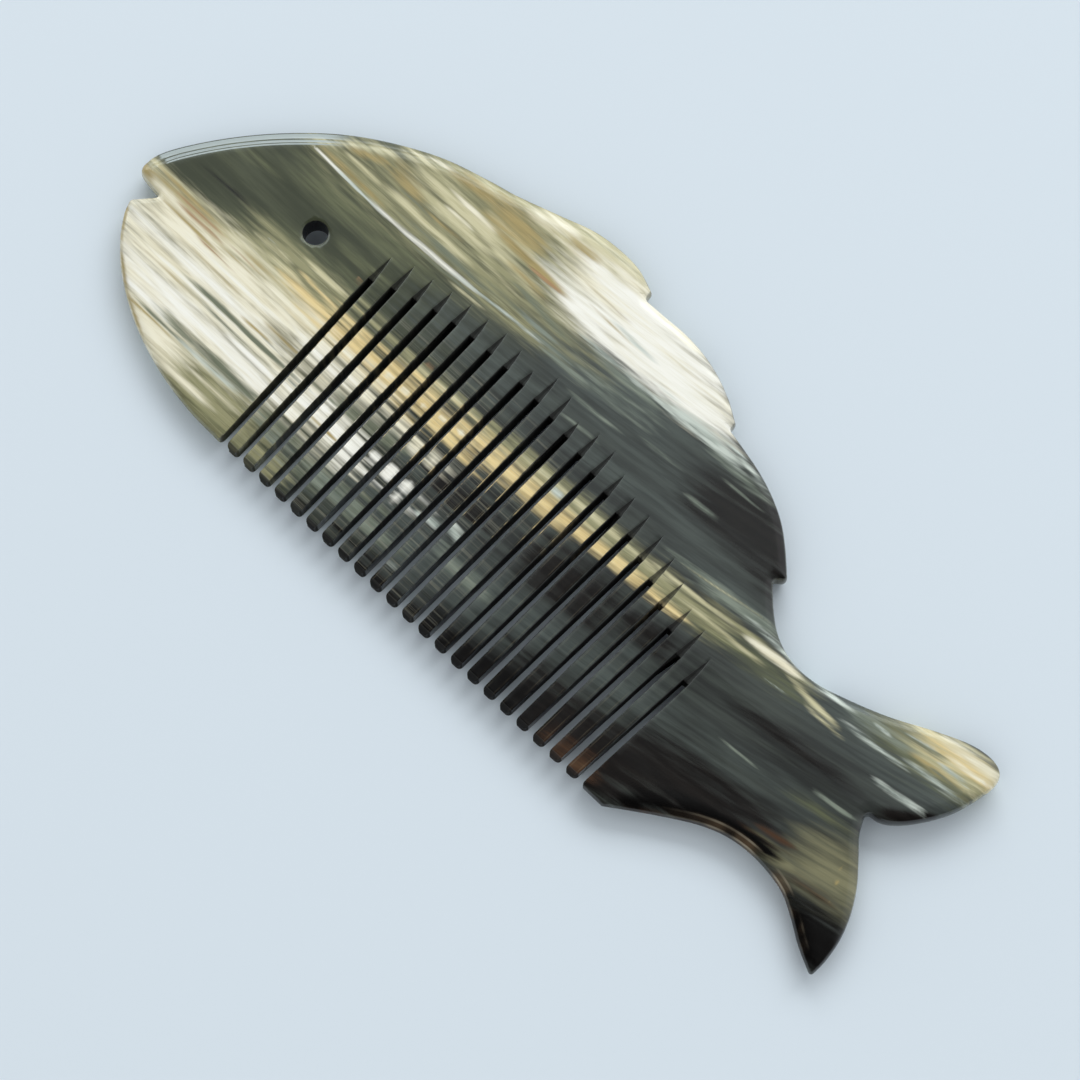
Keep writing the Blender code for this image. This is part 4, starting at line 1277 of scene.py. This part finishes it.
class PolishedHorn(Finished):
    """The polished horn: streaked layers of colour under a clear gloss, with painted shade in its cuts and
    along its rims, and painted sheen, reflections, highlights and glow.

    Attributes:
        head: The ground colour of the head.
        tail: The ground colour of the tail.
        head_light: What the head's streaks drift to.
        tail_light: What the tail's streaks drift to.
        turns_tailwards: Where the head's ground starts to turn into the tail's, and has turned.
        streak_size: The length, width and depth of a streak.
        broad_size: The same for the broad waves.
        ground_size: The same for the waves in the ground.
        fibre_size: The same for the finest lines.
        dark_fibre_size: The same for the dark fibres.
        fading_size: The same for the patches in the rim under the tail.
        wear_size: The same for the worn patches.
        polish_size: The same for the waves of the hand polish.
        scratch_size: The same for the scratches.
        block_size: The share of a tooth's width, the height and the depth of a block on the teeth.
        bar_size: The same for the light bars.
        edge_glow_size: The same for the breaks in the painted glow along the teeth's edges.
        saw_size: The same for the saw lines.
        ragged: How far the streaks pull the layers' borders.
        broad_pull: How far the broad waves pull them.
        block_pull: How far the teeth's blocks pull them.
        blocks_fade: Where the blocks are weak, and where they are full towards the head.
        weak_blocks: Their share where they are weak.
        calm_teeth: How much less ragged the borders are on the teeth.
        fibre_share: How far a layer's fibre colour shows on its finest lines.
        dark_fibre_share: How far the dark fibres show.
        fibre_tint: What they multiply the colour by.
        tooth_apart: Sets one tooth's pattern apart from the next one's.
        tooth_starts: How far below its root a tooth's own pattern starts, and is full.
        pitch: The distance from tooth to tooth.
        slot_half_width: Half a slot's width at the tooth line.
        slot_taper: What it loses for each mm above the tooth line.
        black_and_shade: The black of painted shade on the saw cuts' walls near the roots and in the wheel's
            grooves.
        painted_cut_light: The paler grey painted on the same walls nearer the tips, where the painted shade
            lifts.
        cut_opens: How far below the roots the walls start to turn from the one to the other, and end.
        groove_painted_shade: How far painted shade darkens the wheel's grooves.
        bar: The thin light bars across the dark teeth.
        bar_share: How far they show.
        bars_fade: Where they start towards the head, and are full.
        edge: The painted glow along the teeth's edges.
        edge_glow_share: How far they show.
        edge_glow_line: How far their middle is from the cut, and their half width.
        rim_painted_shade: The painted shade in a dark line along the back's rim.
        rim_painted_reflection: The painted reflection of the window in pale bands along the forehead's
            rounded rim.
        rim_brown_glow: The brown rim under the tail, partly the thin horn's own brown and partly painted glow
            of light through it.
        rim_highlight: The pale lines in it, painted highlights.
        painted_shade_line: How far from the rim the painted shade line ends and is full.
        painted_shade_share: How far it shows.
        reflection_bands: Each band's share, its middle's distance from the rim, and its half width.
        reflection_core: The share of its half width that is full.
        reflection_starts: Where the bands start towards the head, and are full.
        belly_lines: The same for the lines under the tail, the brown rim with painted glow and the painted
            highlights, with each one's colour.
        belly_core: The share of their half width that is full.
        belly_starts: Where they start towards the tail, and are full.
        belly_ends: Where they have ended, and where they start to.
        roughness: The polish.
        worn_by: What wear adds to it.
        ground_by: What the wheel adds in its grooves.
        sawn_by: What the saw adds in its cuts.
        ior: The horn's index of refraction.
        relief_depth: How deep the fine relief is, in metres.
        scratch_share: The scratches' share of it.
        saw_share: The saw lines' share.
        grain: The grain's coordinates.
        x: The first of them, from head to tail.
        tooth: The teeth's coordinates: the tooth, and the height in it.
        on_teeth: 1 on the teeth.
        from_wall: The distance from the nearest saw cut, in mm.
        wall: 1 on the walls of the saw cuts and the eye.
        open_wall: 0 near the teeth's roots, where the walls get black painted shade, and 1 further down,
            where they get a paler painted grey.
        groove: 1 deep in the wheel's grooves.
        fibre: 1 on the finest lines.
        pulls: What pulls every layer's borders: the broad waves, and blocks from tooth to tooth.
    """

    head: Colour = srgb(55, 60, 44)
    tail: Colour = srgb(44, 47, 46)
    head_light: Colour = srgb(74, 79, 60)
    tail_light: Colour = srgb(66, 72, 68)
    turns_tailwards: Point = (-42.0, -4.0)
    streak_size: Size = (8.5, 0.75, 2.5)
    broad_size: Size = (18.0, 1.3, 4.0)
    ground_size: Size = (20.0, 1.5, 6.0)
    fibre_size: Size = (5.0, 0.13, 0.8)
    dark_fibre_size: Size = (7.0, 0.22, 1.5)
    fading_size: Size = (6.0, 6.0, 6.0)
    wear_size: Size = (14.0, 3.0, 6.0)
    polish_size: Size = (16.0, 5.0, 5.0)
    scratch_size: Size = (6.0, 0.05, 0.05)
    block_size: Size = (1.0, 1.3, 1.0)
    bar_size: Size = (1.0, 0.45, 1.0)
    edge_glow_size: Size = (1.0, 5.0, 1.0)
    saw_size: Size = (0.05, 9.0, 9.0)
    ragged: float = 1.4
    broad_pull: float = 0.9
    block_pull: float = 2.3
    blocks_fade: Point = (6.0, -12.0)
    weak_blocks: float = 0.15
    calm_teeth: float = 0.7
    fibre_share: float = 0.34
    dark_fibre_share: float = 0.38
    fibre_tint: Colour = (0.78, 0.75, 0.66, 1.0)
    tooth_apart: float = 7.31
    tooth_starts: Point = (1.0, 5.0)
    pitch: float = 3.4
    slot_half_width: float = 0.675
    slot_taper: float = 0.0047
    black_and_shade: Colour = srgb(14, 12, 10)
    painted_cut_light: Colour = srgb(104, 107, 112)
    cut_opens: Point = (4.0, 11.0)
    groove_painted_shade: float = 0.75
    bar: Colour = srgb(150, 150, 134)
    bar_share: float = 0.3
    bars_fade: Point = (12.0, -4.0)
    edge: Colour = srgb(160, 150, 122)
    edge_glow_share: float = 0.13
    edge_glow_line: Point = (0.34, 0.12)
    rim_painted_shade: Colour = srgb(78, 76, 56)
    rim_painted_reflection: Colour = srgb(160, 172, 172)
    rim_brown_glow: Colour = srgb(104, 84, 62)
    rim_highlight: Colour = srgb(178, 170, 148)
    painted_shade_line: Point = (0.36, 0.14)
    painted_shade_share: float = 0.6
    reflection_bands: tuple[Size, ...] = ((0.9, 1.0, 0.54), (0.9, 1.98, 0.24), (0.85, 2.5, 0.14))
    reflection_core: float = 0.8
    reflection_starts: Point = (-57.0, -61.0)
    belly_lines: tuple[tuple[float, float, float, Colour], ...] = (
        (0.62, 0.4, 1.2, rim_brown_glow), (0.6, 0.3, 0.16, rim_highlight), (0.4, 1.15, 0.2, rim_highlight),
    )
    belly_core: float = 0.4
    belly_starts: Point = (45.0, 58.0)
    belly_ends: Point = (75.0, 68.0)
    roughness: float = 0.16
    worn_by: float = 0.08
    ground_by: float = 0.8
    sawn_by: float = 0.1
    ior: float = 1.54
    relief_depth: float = 0.03 * MM
    scratch_share: float = 0.02
    saw_share: float = 0.05

    def __init__(self) -> None:
        """Wires up the whole material."""
        super().__init__(SLOT)
        self.read_figure()
        colour = self.ground()
        for number, tone in enumerate(FINISHES):
            colour = self.layer(colour, tone, number)
        colour = self.rim_lines(self.fibres(self.tooth_light(colour)))
        # Painted shade deep in the wheel's grooves
        colour = self.blend(self.times(self.groove, self.groove_painted_shade), colour, self.black_and_shade)
        # Painted shade on the walls of the saw cuts and the eye: black near the roots, a paler grey further
        # down
        colour = self.blend(self.wall, colour, self.blend(self.open_wall, self.black_and_shade, self.painted_cut_light))
        looks = {"Base Color": colour, "Roughness": self.worn_polish(), "IOR": self.ior}
        self.end_with("ShaderNodeBsdfPrincipled", looks | {"Normal": self.relief()})

    def read_figure(self) -> None:
        """Reads what the mesh's points carry, and wires up the patterns that every layer is drawn with."""
        self.grain = self.attribute("grain")
        self.x = self.parts(self.grain)[0]
        row, height, below_root = self.parts(self.attribute("tooth"))
        depth = self.attribute("depth", "Fac")
        number = self.math("FLOOR", row)
        joined = self.add("ShaderNodeCombineXYZ")
        self.tooth = self.fed(joined, (self.times(number, self.tooth_apart), height))
        in_row = self.times(self.step(row, -0.3, -0.2), self.step(row, LAST_SLOT + 0.3, LAST_SLOT + 0.2))
        between = self.step(number, -0.6, -0.5), self.step(number, LAST_SLOT - 0.1, LAST_SLOT - 0.5)
        self.on_teeth = self.times(*between, self.step(below_root, *self.tooth_starts))
        from_slot = self.times(self.math("SUBTRACT", 0.5, self.off(self.math("FRACT", row), 0.5)), self.pitch)
        taper = self.math("MULTIPLY_ADD", height, self.slot_taper, -self.slot_half_width)
        self.from_wall = self.math("ADD", from_slot, taper)
        in_slot = self.times(in_row, self.step(self.from_wall, 0.25, 0.1), self.step(below_root, -0.4, -0.1))
        bored = self.step(self.attribute("bored", "Fac"), 0.85, 0.98)
        self.wall = self.math("MAXIMUM", self.times(self.step(depth, 0.12, 0.4), in_slot), bored)
        self.open_wall = self.step(below_root, *self.cut_opens)
        near_root = self.times(in_row, self.step(below_root, -6.0, -5.8))
        self.groove = self.times(self.step(depth, 0.004, 0.06), near_root)
        self.fibre = self.step(self.noise(self.grain, self.fibre_size, 4.0, 2.0), 0.54, 0.72)
        broad = self.math("SUBTRACT", self.noise(self.grain, self.broad_size, 9.0, 3.0), 0.5)
        blocks = self.math("SUBTRACT", self.noise(self.tooth, self.block_size, 2.0, 2.0), 0.5)
        headwards = self.step(self.x, *self.blocks_fade)
        headwards = self.math("MULTIPLY_ADD", headwards, 1.0 - self.weak_blocks, self.weak_blocks)
        blocks = self.times(blocks, self.block_pull, headwards, self.on_teeth)
        self.pulls = (self.times(broad, self.broad_pull), blocks)

    def ground(self) -> NodeSocket:
        """The colour under all layers, olive at the head and charcoal at the tail.

        Returns:
            The colour.
        """
        tailwards = self.step(self.x, *self.turns_tailwards)
        ground = self.blend(tailwards, self.head, self.tail)
        light = self.blend(tailwards, self.head_light, self.tail_light)
        waves = self.noise(self.grain, self.ground_size, 19.0, 4.0)
        return self.blend(self.step(waves, 0.38, 0.72), ground, light)

    def layer(self, below: NodeSocket, tone: Tone, number: int) -> NodeSocket:
        """Lays one tone over what is below it.

        Args:
            below: The colour below.
            tone: The tone.
            number: Its place in the order, which sets its streaks apart.

        Returns:
            The colour with the tone on it.
        """
        finish = FINISHES[tone]
        streaks = self.noise(self.grain, self.streak_size, 13.0 + 5.3 * number, 3.0)
        pull = self.times(self.math("SUBTRACT", streaks, 0.5), self.ragged * finish.ragged)
        pull = self.times(pull, self.math("MULTIPLY_ADD", self.on_teeth, -self.calm_teeth, 1.0))
        strength = reduce(partial(self.math, "ADD"), (self.attribute(tone.value, "Fac"), pull, *self.pulls))
        mask = self.step(strength, 0.5 - finish.softness, 0.5 + finish.softness)
        colour = self.blend(self.step(streaks, 0.36, 0.62), finish.shade, finish.colour)
        colour = self.blend(self.times(self.fibre, self.fibre_share), colour, finish.fibre)
        return self.blend(mask, below, colour)

    def tooth_light(self, colour: NodeSocket) -> NodeSocket:
        """Thin light bars across the teeth, and painted glow in lines along their edges.

        Args:
            colour: The horn's colour.

        Returns:
            The colour with the bars and lines on it.
        """
        bars = self.step(self.noise(self.tooth, self.bar_size, 61.0, 2.0), 0.5, 0.7)
        bars = self.times(bars, self.step(self.x, *self.bars_fade), self.on_teeth, self.bar_share)
        colour = self.blend(bars, colour, self.bar)
        # Painted glow along the teeth's edges, where the horn is thin
        middle, half_width = self.edge_glow_line
        lines = self.step(self.noise(self.tooth, self.edge_glow_size, 67.0, 2.0), 0.35, 0.7)
        line = self.step(self.off(self.from_wall, middle), half_width, 0.0)
        return self.blend(self.times(line, lines, self.on_teeth, self.edge_glow_share), colour, self.edge)

    def rim_lines(self, colour: NodeSocket) -> NodeSocket:
        """Painted shade along the back's rim, painted reflection bands at the forehead, and under the tail a
        brown rim with painted glow and painted highlights.

        Args:
            colour: The horn's colour.

        Returns:
            The colour with the lines on it.
        """
        from_rim, on_back, on_belly = self.parts(self.attribute("rim"))
        # Painted shade: a dark line just inside the back's rim
        dark = self.times(self.step(from_rim, *self.painted_shade_line), on_back, self.painted_shade_share)
        colour = self.blend(dark, colour, self.rim_painted_shade)
        forehead = self.times(self.step(self.x, *self.reflection_starts), on_back)
        fading = self.step(self.noise(self.grain, self.fading_size, 83.0, 2.0), 0.3, 0.6)
        ends = (self.step(self.x, *end) for end in (self.belly_starts, self.belly_ends))
        belly = self.times(*ends, fading, on_belly)
        # Painted reflection: pale bands along the forehead's rounded rim
        rows = [(*band, self.rim_painted_reflection, forehead, self.reflection_core) for band in self.reflection_bands]
        # Under the tail: a brown rim, partly painted glow, and pale painted highlights
        rows += [(*line, belly, self.belly_core) for line in self.belly_lines]
        for share, middle, half_width, lining, where, core in rows:
            line = self.step(self.off(from_rim, middle), half_width, core * half_width)
            colour = self.blend(self.times(line, where, share), colour, lining)
        return colour

    def fibres(self, colour: NodeSocket) -> NodeSocket:
        """Darkens the horn along fine fibres, and gives the colour back."""
        dark = self.step(self.noise(self.grain, self.dark_fibre_size, 71.0, 3.0), 0.5, 0.8)
        return self.blend(self.times(dark, self.dark_fibre_share), colour, self.fibre_tint, "MULTIPLY")

    def worn_polish(self) -> NodeSocket:
        """The roughness, duller in streaks, in the grooves and on the saw cuts' walls.

        Returns:
            The roughness.
        """
        rough = self.roughness
        worn = self.step(self.noise(self.grain, self.wear_size, 31.0, 4.0), 0.4, 0.7)
        for where, more in ((worn, self.worn_by), (self.groove, self.ground_by), (self.wall, self.sawn_by)):
            rough = self.math("MULTIPLY_ADD", where, more, rough)
        return rough

    def relief(self) -> NodeSocket:
        """The fine relief: hand-polished waves, hairline scratches, and saw lines down the teeth.

        Returns:
            The surface normal.
        """
        waves = self.noise(self.grain, self.polish_size, 41.0, 1.0)
        scratches = self.noise(self.grain, self.scratch_size, 47.0, 1.0)
        lines = self.times(self.noise(self.tooth, self.saw_size, 53.0, 1.0), self.on_teeth)
        height = self.math("MULTIPLY_ADD", scratches, self.scratch_share, waves)
        height = self.math("MULTIPLY_ADD", lines, self.saw_share, height)
        bump = self.add("ShaderNodeBump")
        self.feed(bump.inputs["Distance"], self.relief_depth)
        self.feed(bump.inputs["Height"], height)
        return bump.outputs[0]


@dataclass(frozen=True)
class HornComb:
    """The whole comb: its plate and its figure, under its polish.

    Attributes:
        plate: Its shape.
        figure: Where its tones lie.
    """

    plate: CombPlate = CombPlate()
    figure: Figure = Figure()

    def build(self) -> Object:
        """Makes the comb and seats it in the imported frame.

        Returns:
            The comb's object.
        """
        comb = self.plate.build()
        self.figure.mark(comb.data, self.plate)
        comb.data.transform(Matrix.Scale(MM, 4) @ Matrix.Translation(DRAWING_SHIFT))
        comb.data.materials.clear()
        comb.data.materials.append(PolishedHorn().material)
        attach(comb, BODY)
        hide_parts(NODE)
        return comb


@dataclass(frozen=True)
class Studio:
    """The pale floor, the soft light, the shade that the polish mirrors, and the camera.

    Attributes:
        up: The direction on the floor that points up in the picture.
        right: The direction on the floor that points right in it.
        looks_at: What the camera looks at, in mm.
        camera_at: Where it stands, in mm.
        lens: Its focal length.
        floor_size: The floor's length and width, in metres.
        floor_gap: How far under the comb it lies, in metres.
        floor_colour: The floor.
        sky: The pale background, which the polish mirrors.
        fill: The softer light on everything else.
        window_lean: How far the window leans from overhead towards the picture's top, in degrees.
        window_turn: How far it is turned to the picture's left in plan, in degrees.
        window_distance: How far off it is, in metres.
        window_size: Its width and height, in metres.
        window_radiance: How bright it is.
        panes_distance: How far off the mirrored window panes are, in metres.
        panes_lean: How far the mirrored window panes lean from overhead, in degrees.
        panes_turn: How far they are turned to the picture's left in plan, in degrees.
        panes_size: Their width and height, in metres.
        panes_colour: Their light.
        panes_radiance: How much brighter than the bars they look in the polish.
        bar_radiance: How bright the bars look in it.
        bars: The lowest and highest point of each bar between them, from their middle, in metres.
        bar_blur: How softly the bars begin, in metres.
        hood_height: How high the hood over the camera hangs, in metres.
        hood_size: Its width and depth, in metres.
        hood_colour: The hood.
        shade_height: How high the shade hangs, in metres.
        shade_size: Its width and depth, in metres.
        shade_edge: How far beyond overhead its dark part ends, as a share of its height.
        shade_blur: How softly it ends there, in metres.
        shade_end: How far beyond overhead the whole shade ends, as a share of its height.
        shade_turn: How far it is turned in plan, in degrees.
        shade_fade: Where it starts and stops getting lighter towards overhead, in metres.
        shade_rim: What it shows beyond that edge.
        shade_near: What it shows overhead.
        shade_far: What it shows towards the picture's bottom.
        mirrored_only: What doesn't meet the shade and the panes.
        unmirrored: What doesn't meet the hood.
    """

    up: Size = (-0.695, 0.719, 0.0)
    right: Size = (0.719, 0.695, 0.0)
    looks_at: Size = (6.098, -9.304, 2.1)
    camera_at: Size = (76.4, -82.0, 366.9)
    lens: float = 86.67
    floor_size: Point = (3.0, 3.0)
    floor_gap: float = 0.05 * MM
    floor_colour: Colour = srgb(212, 224, 233)
    sky: Colour = (0.78, 0.8, 0.82, 1.0)
    fill: Colour = (0.79, 0.79, 0.79, 1.0)
    window_lean: float = 57.0
    window_turn: float = -18.0
    window_distance: float = 2.6
    window_size: Point = (3.1, 1.08)
    window_radiance: float = 4.8
    panes_distance: float = 1.5
    panes_lean: float = 52.2
    panes_turn: float = 14.0
    panes_size: Point = (2.4, 1.31)
    panes_colour: Colour = (0.88, 0.98, 1.0, 1.0)
    panes_radiance: float = 2.8
    bar_radiance: float = 0.3
    bars: tuple[Point, ...] = ((-0.345, -0.035), (0.295, 0.435))
    bar_blur: float = 0.04
    hood_height: float = 0.7
    hood_size: Point = (0.5, 0.5)
    hood_colour: Colour = srgb(10, 10, 10)
    shade_height: float = 1.2
    shade_size: Point = (14.0, 9.0)
    shade_edge: float = 0.191
    shade_blur: float = 0.01
    shade_end: float = 0.5
    shade_turn: float = -31.8
    shade_fade: Point = (-1.0, 0.2)
    shade_rim: Colour = (0.52, 0.56, 0.56, 1.0)
    shade_near: Colour = (0.13, 0.13, 0.13, 1.0)
    shade_far: Colour = (0.04, 0.04, 0.04, 1.0)
    mirrored_only: tuple[str, ...] = ("camera", "diffuse", "shadow", "transmission")
    unmirrored: tuple[str, ...] = ("camera", "glossy", "transmission")

    def build(self) -> None:
        """Sets up the whole studio."""
        self.floor()
        self.shade()
        self.hood()
        self.window()
        self.panes()
        self.world()
        self.camera()

    def direction(self, lean: float, turn: float) -> Vector:
        """A direction from the comb.

        Args:
            lean: How far it leans from overhead towards the picture's top, in degrees.
            turn: How far it is turned to the picture's left in plan, in degrees.

        Returns:
            The unit vector.
        """
        lean, turn = math.radians(lean), math.radians(turn)
        flat = Vector(self.up) * math.cos(turn) - Vector(self.right) * math.sin(turn)
        return flat.normalized() * math.sin(lean) + OVERHEAD * math.cos(lean)

    def card(
        self, name: str, size: Point, matrix: Matrix, finish: Finished, hidden: Iterable[str] = ()
    ) -> None:
        """Adds a flat card.

        Args:
            name: Its name.
            size: Its width and height, in metres.
            matrix: Its place.
            finish: Its material.
            hidden: The kinds of ray that pass it by.
        """
        bm = bmesh.new()
        bmesh.ops.create_grid(bm, x_segments=1, y_segments=1, size=0.5)
        bmesh.ops.scale(bm, vec=(*size, 1.0), verts=bm.verts)
        bmesh.ops.transform(bm, matrix=matrix, verts=bm.verts)
        card = add_shape(name, bm)
        card.data.materials.append(finish.material)
        for ray in hidden:
            setattr(card, f"visible_{ray}", False)

    def floor(self) -> None:
        """The plain pale floor, just under the comb."""
        paper = Finished("pale_floor")
        paper.end_with("ShaderNodeBsdfDiffuse", {"Color": self.floor_colour})
        self.card("floor", self.floor_size, Matrix.Translation(-OVERHEAD * self.floor_gap), paper)

    def shade(self) -> None:
        """The dark card overhead and behind the camera, which only mirrored light meets."""
        turn = math.radians(self.shade_turn)
        along = Vector(self.right) * math.cos(turn) + Vector(self.up) * math.sin(turn)
        away = OVERHEAD.cross(along)
        centre = away * (self.shade_end * self.shade_height - 0.5 * self.shade_size[1])
        matrix = standing((along, away, OVERHEAD), centre + OVERHEAD * self.shade_height)
        cloth = Finished("shade_cloth")
        reach = cloth.along(away)
        dark = cloth.blend(cloth.step(reach, *self.shade_fade), self.shade_far, self.shade_near)
        edge = self.shade_edge * self.shade_height
        beyond = cloth.step(reach, edge - self.shade_blur, edge + self.shade_blur)
        cloth.end_with("ShaderNodeEmission", {"Color": cloth.blend(beyond, dark, self.shade_rim)})
        self.card("overhead_shade", self.shade_size, matrix, cloth, self.mirrored_only)

    def hood(self) -> None:
        """The black hood over the camera, which keeps light from overhead out of the slots."""
        velvet = Finished("black_velvet")
        velvet.end_with("ShaderNodeBsdfDiffuse", {"Color": self.hood_colour})
        matrix = Matrix.Translation(OVERHEAD * self.hood_height)
        self.card("camera_hood", self.hood_size, matrix, velvet, self.unmirrored)

    def window(self) -> None:
        """The window: a wide soft lamp low beyond the top of the picture."""
        towards = self.direction(self.window_lean, self.window_turn)
        data = bpy.data.lights.new("window", "AREA")
        data.shape = "RECTANGLE"
        data.size, data.size_y = self.window_size
        data.energy = math.pi * math.prod(self.window_size) * self.window_radiance
        lamp = add_object("window", data)
        lamp.location = towards * self.window_distance
        lamp.rotation_euler = towards.to_track_quat("Z", "Y").to_euler()
        lamp.visible_glossy = False

    def panes(self) -> None:
        """The window's panes as the polish mirrors them, with bars between them."""
        towards = self.direction(self.panes_lean, self.panes_turn)
        centre = towards * self.panes_distance
        matrix = Matrix.Translation(centre) @ towards.to_track_quat("Z", "Y").to_matrix().to_4x4()
        upwards = matrix.col[1].to_3d()
        glass = Finished("bright_panes")
        height = glass.math("SUBTRACT", glass.along(upwards), centre.dot(upwards))
        bright = 1.0
        for low, high in self.bars:
            above = glass.step(height, low, low + self.bar_blur)
            below = glass.step(height, high, high - self.bar_blur)
            bright = glass.math("SUBTRACT", bright, glass.times(above, below))
        strength = glass.math("MULTIPLY_ADD", bright, self.panes_radiance, self.bar_radiance)
        glass.end_with("ShaderNodeEmission", {"Color": self.panes_colour, "Strength": strength})
        self.card("window_panes", self.panes_size, matrix, glass, self.mirrored_only)

    def world(self) -> None:
        """Pale surroundings: what the camera and the polish see, and a softer fill for the rest."""
        world = bpy.data.worlds.new("studio")
        world.use_nodes = True
        graph = Graph(world.node_tree)
        path = graph.add("ShaderNodeLightPath").outputs
        rays = (path[f"Is {kind} Ray"] for kind in ("Camera", "Glossy", "Transmission"))
        seen = reduce(partial(graph.math, "MAXIMUM"), rays)
        surroundings = {"Color": graph.blend(seen, self.fill, self.sky)}
        graph.end_with("ShaderNodeBackground", surroundings, "ShaderNodeOutputWorld")
        bpy.context.scene.world = world

    def camera(self) -> None:
        """The camera at the picture's angle."""
        data = bpy.data.cameras.new("camera")
        data.lens = self.lens
        stand = Vector(self.camera_at) * MM
        back = (stand - Vector(self.looks_at) * MM).normalized()
        right = Vector(self.up).cross(back).normalized()
        camera = add_object("camera", data)
        camera.matrix_world = standing((right, back.cross(right), back), stand)
        bpy.context.scene.camera = camera


def main() -> None:
    """Builds the studio and the comb, and logs the comb's number of faces."""
    logging.basicConfig(level=logging.INFO, format="%(message)s")
    bpy.context.scene.view_settings.view_transform = "Standard"
    Studio().build()
    log.info("studio: floor, overhead shade, camera hood, window, window panes and camera")
    comb = HornComb().build()
    log.info("%s: %d faces", comb.name, len(comb.data.polygons))


if __name__ == "__main__":
    main()
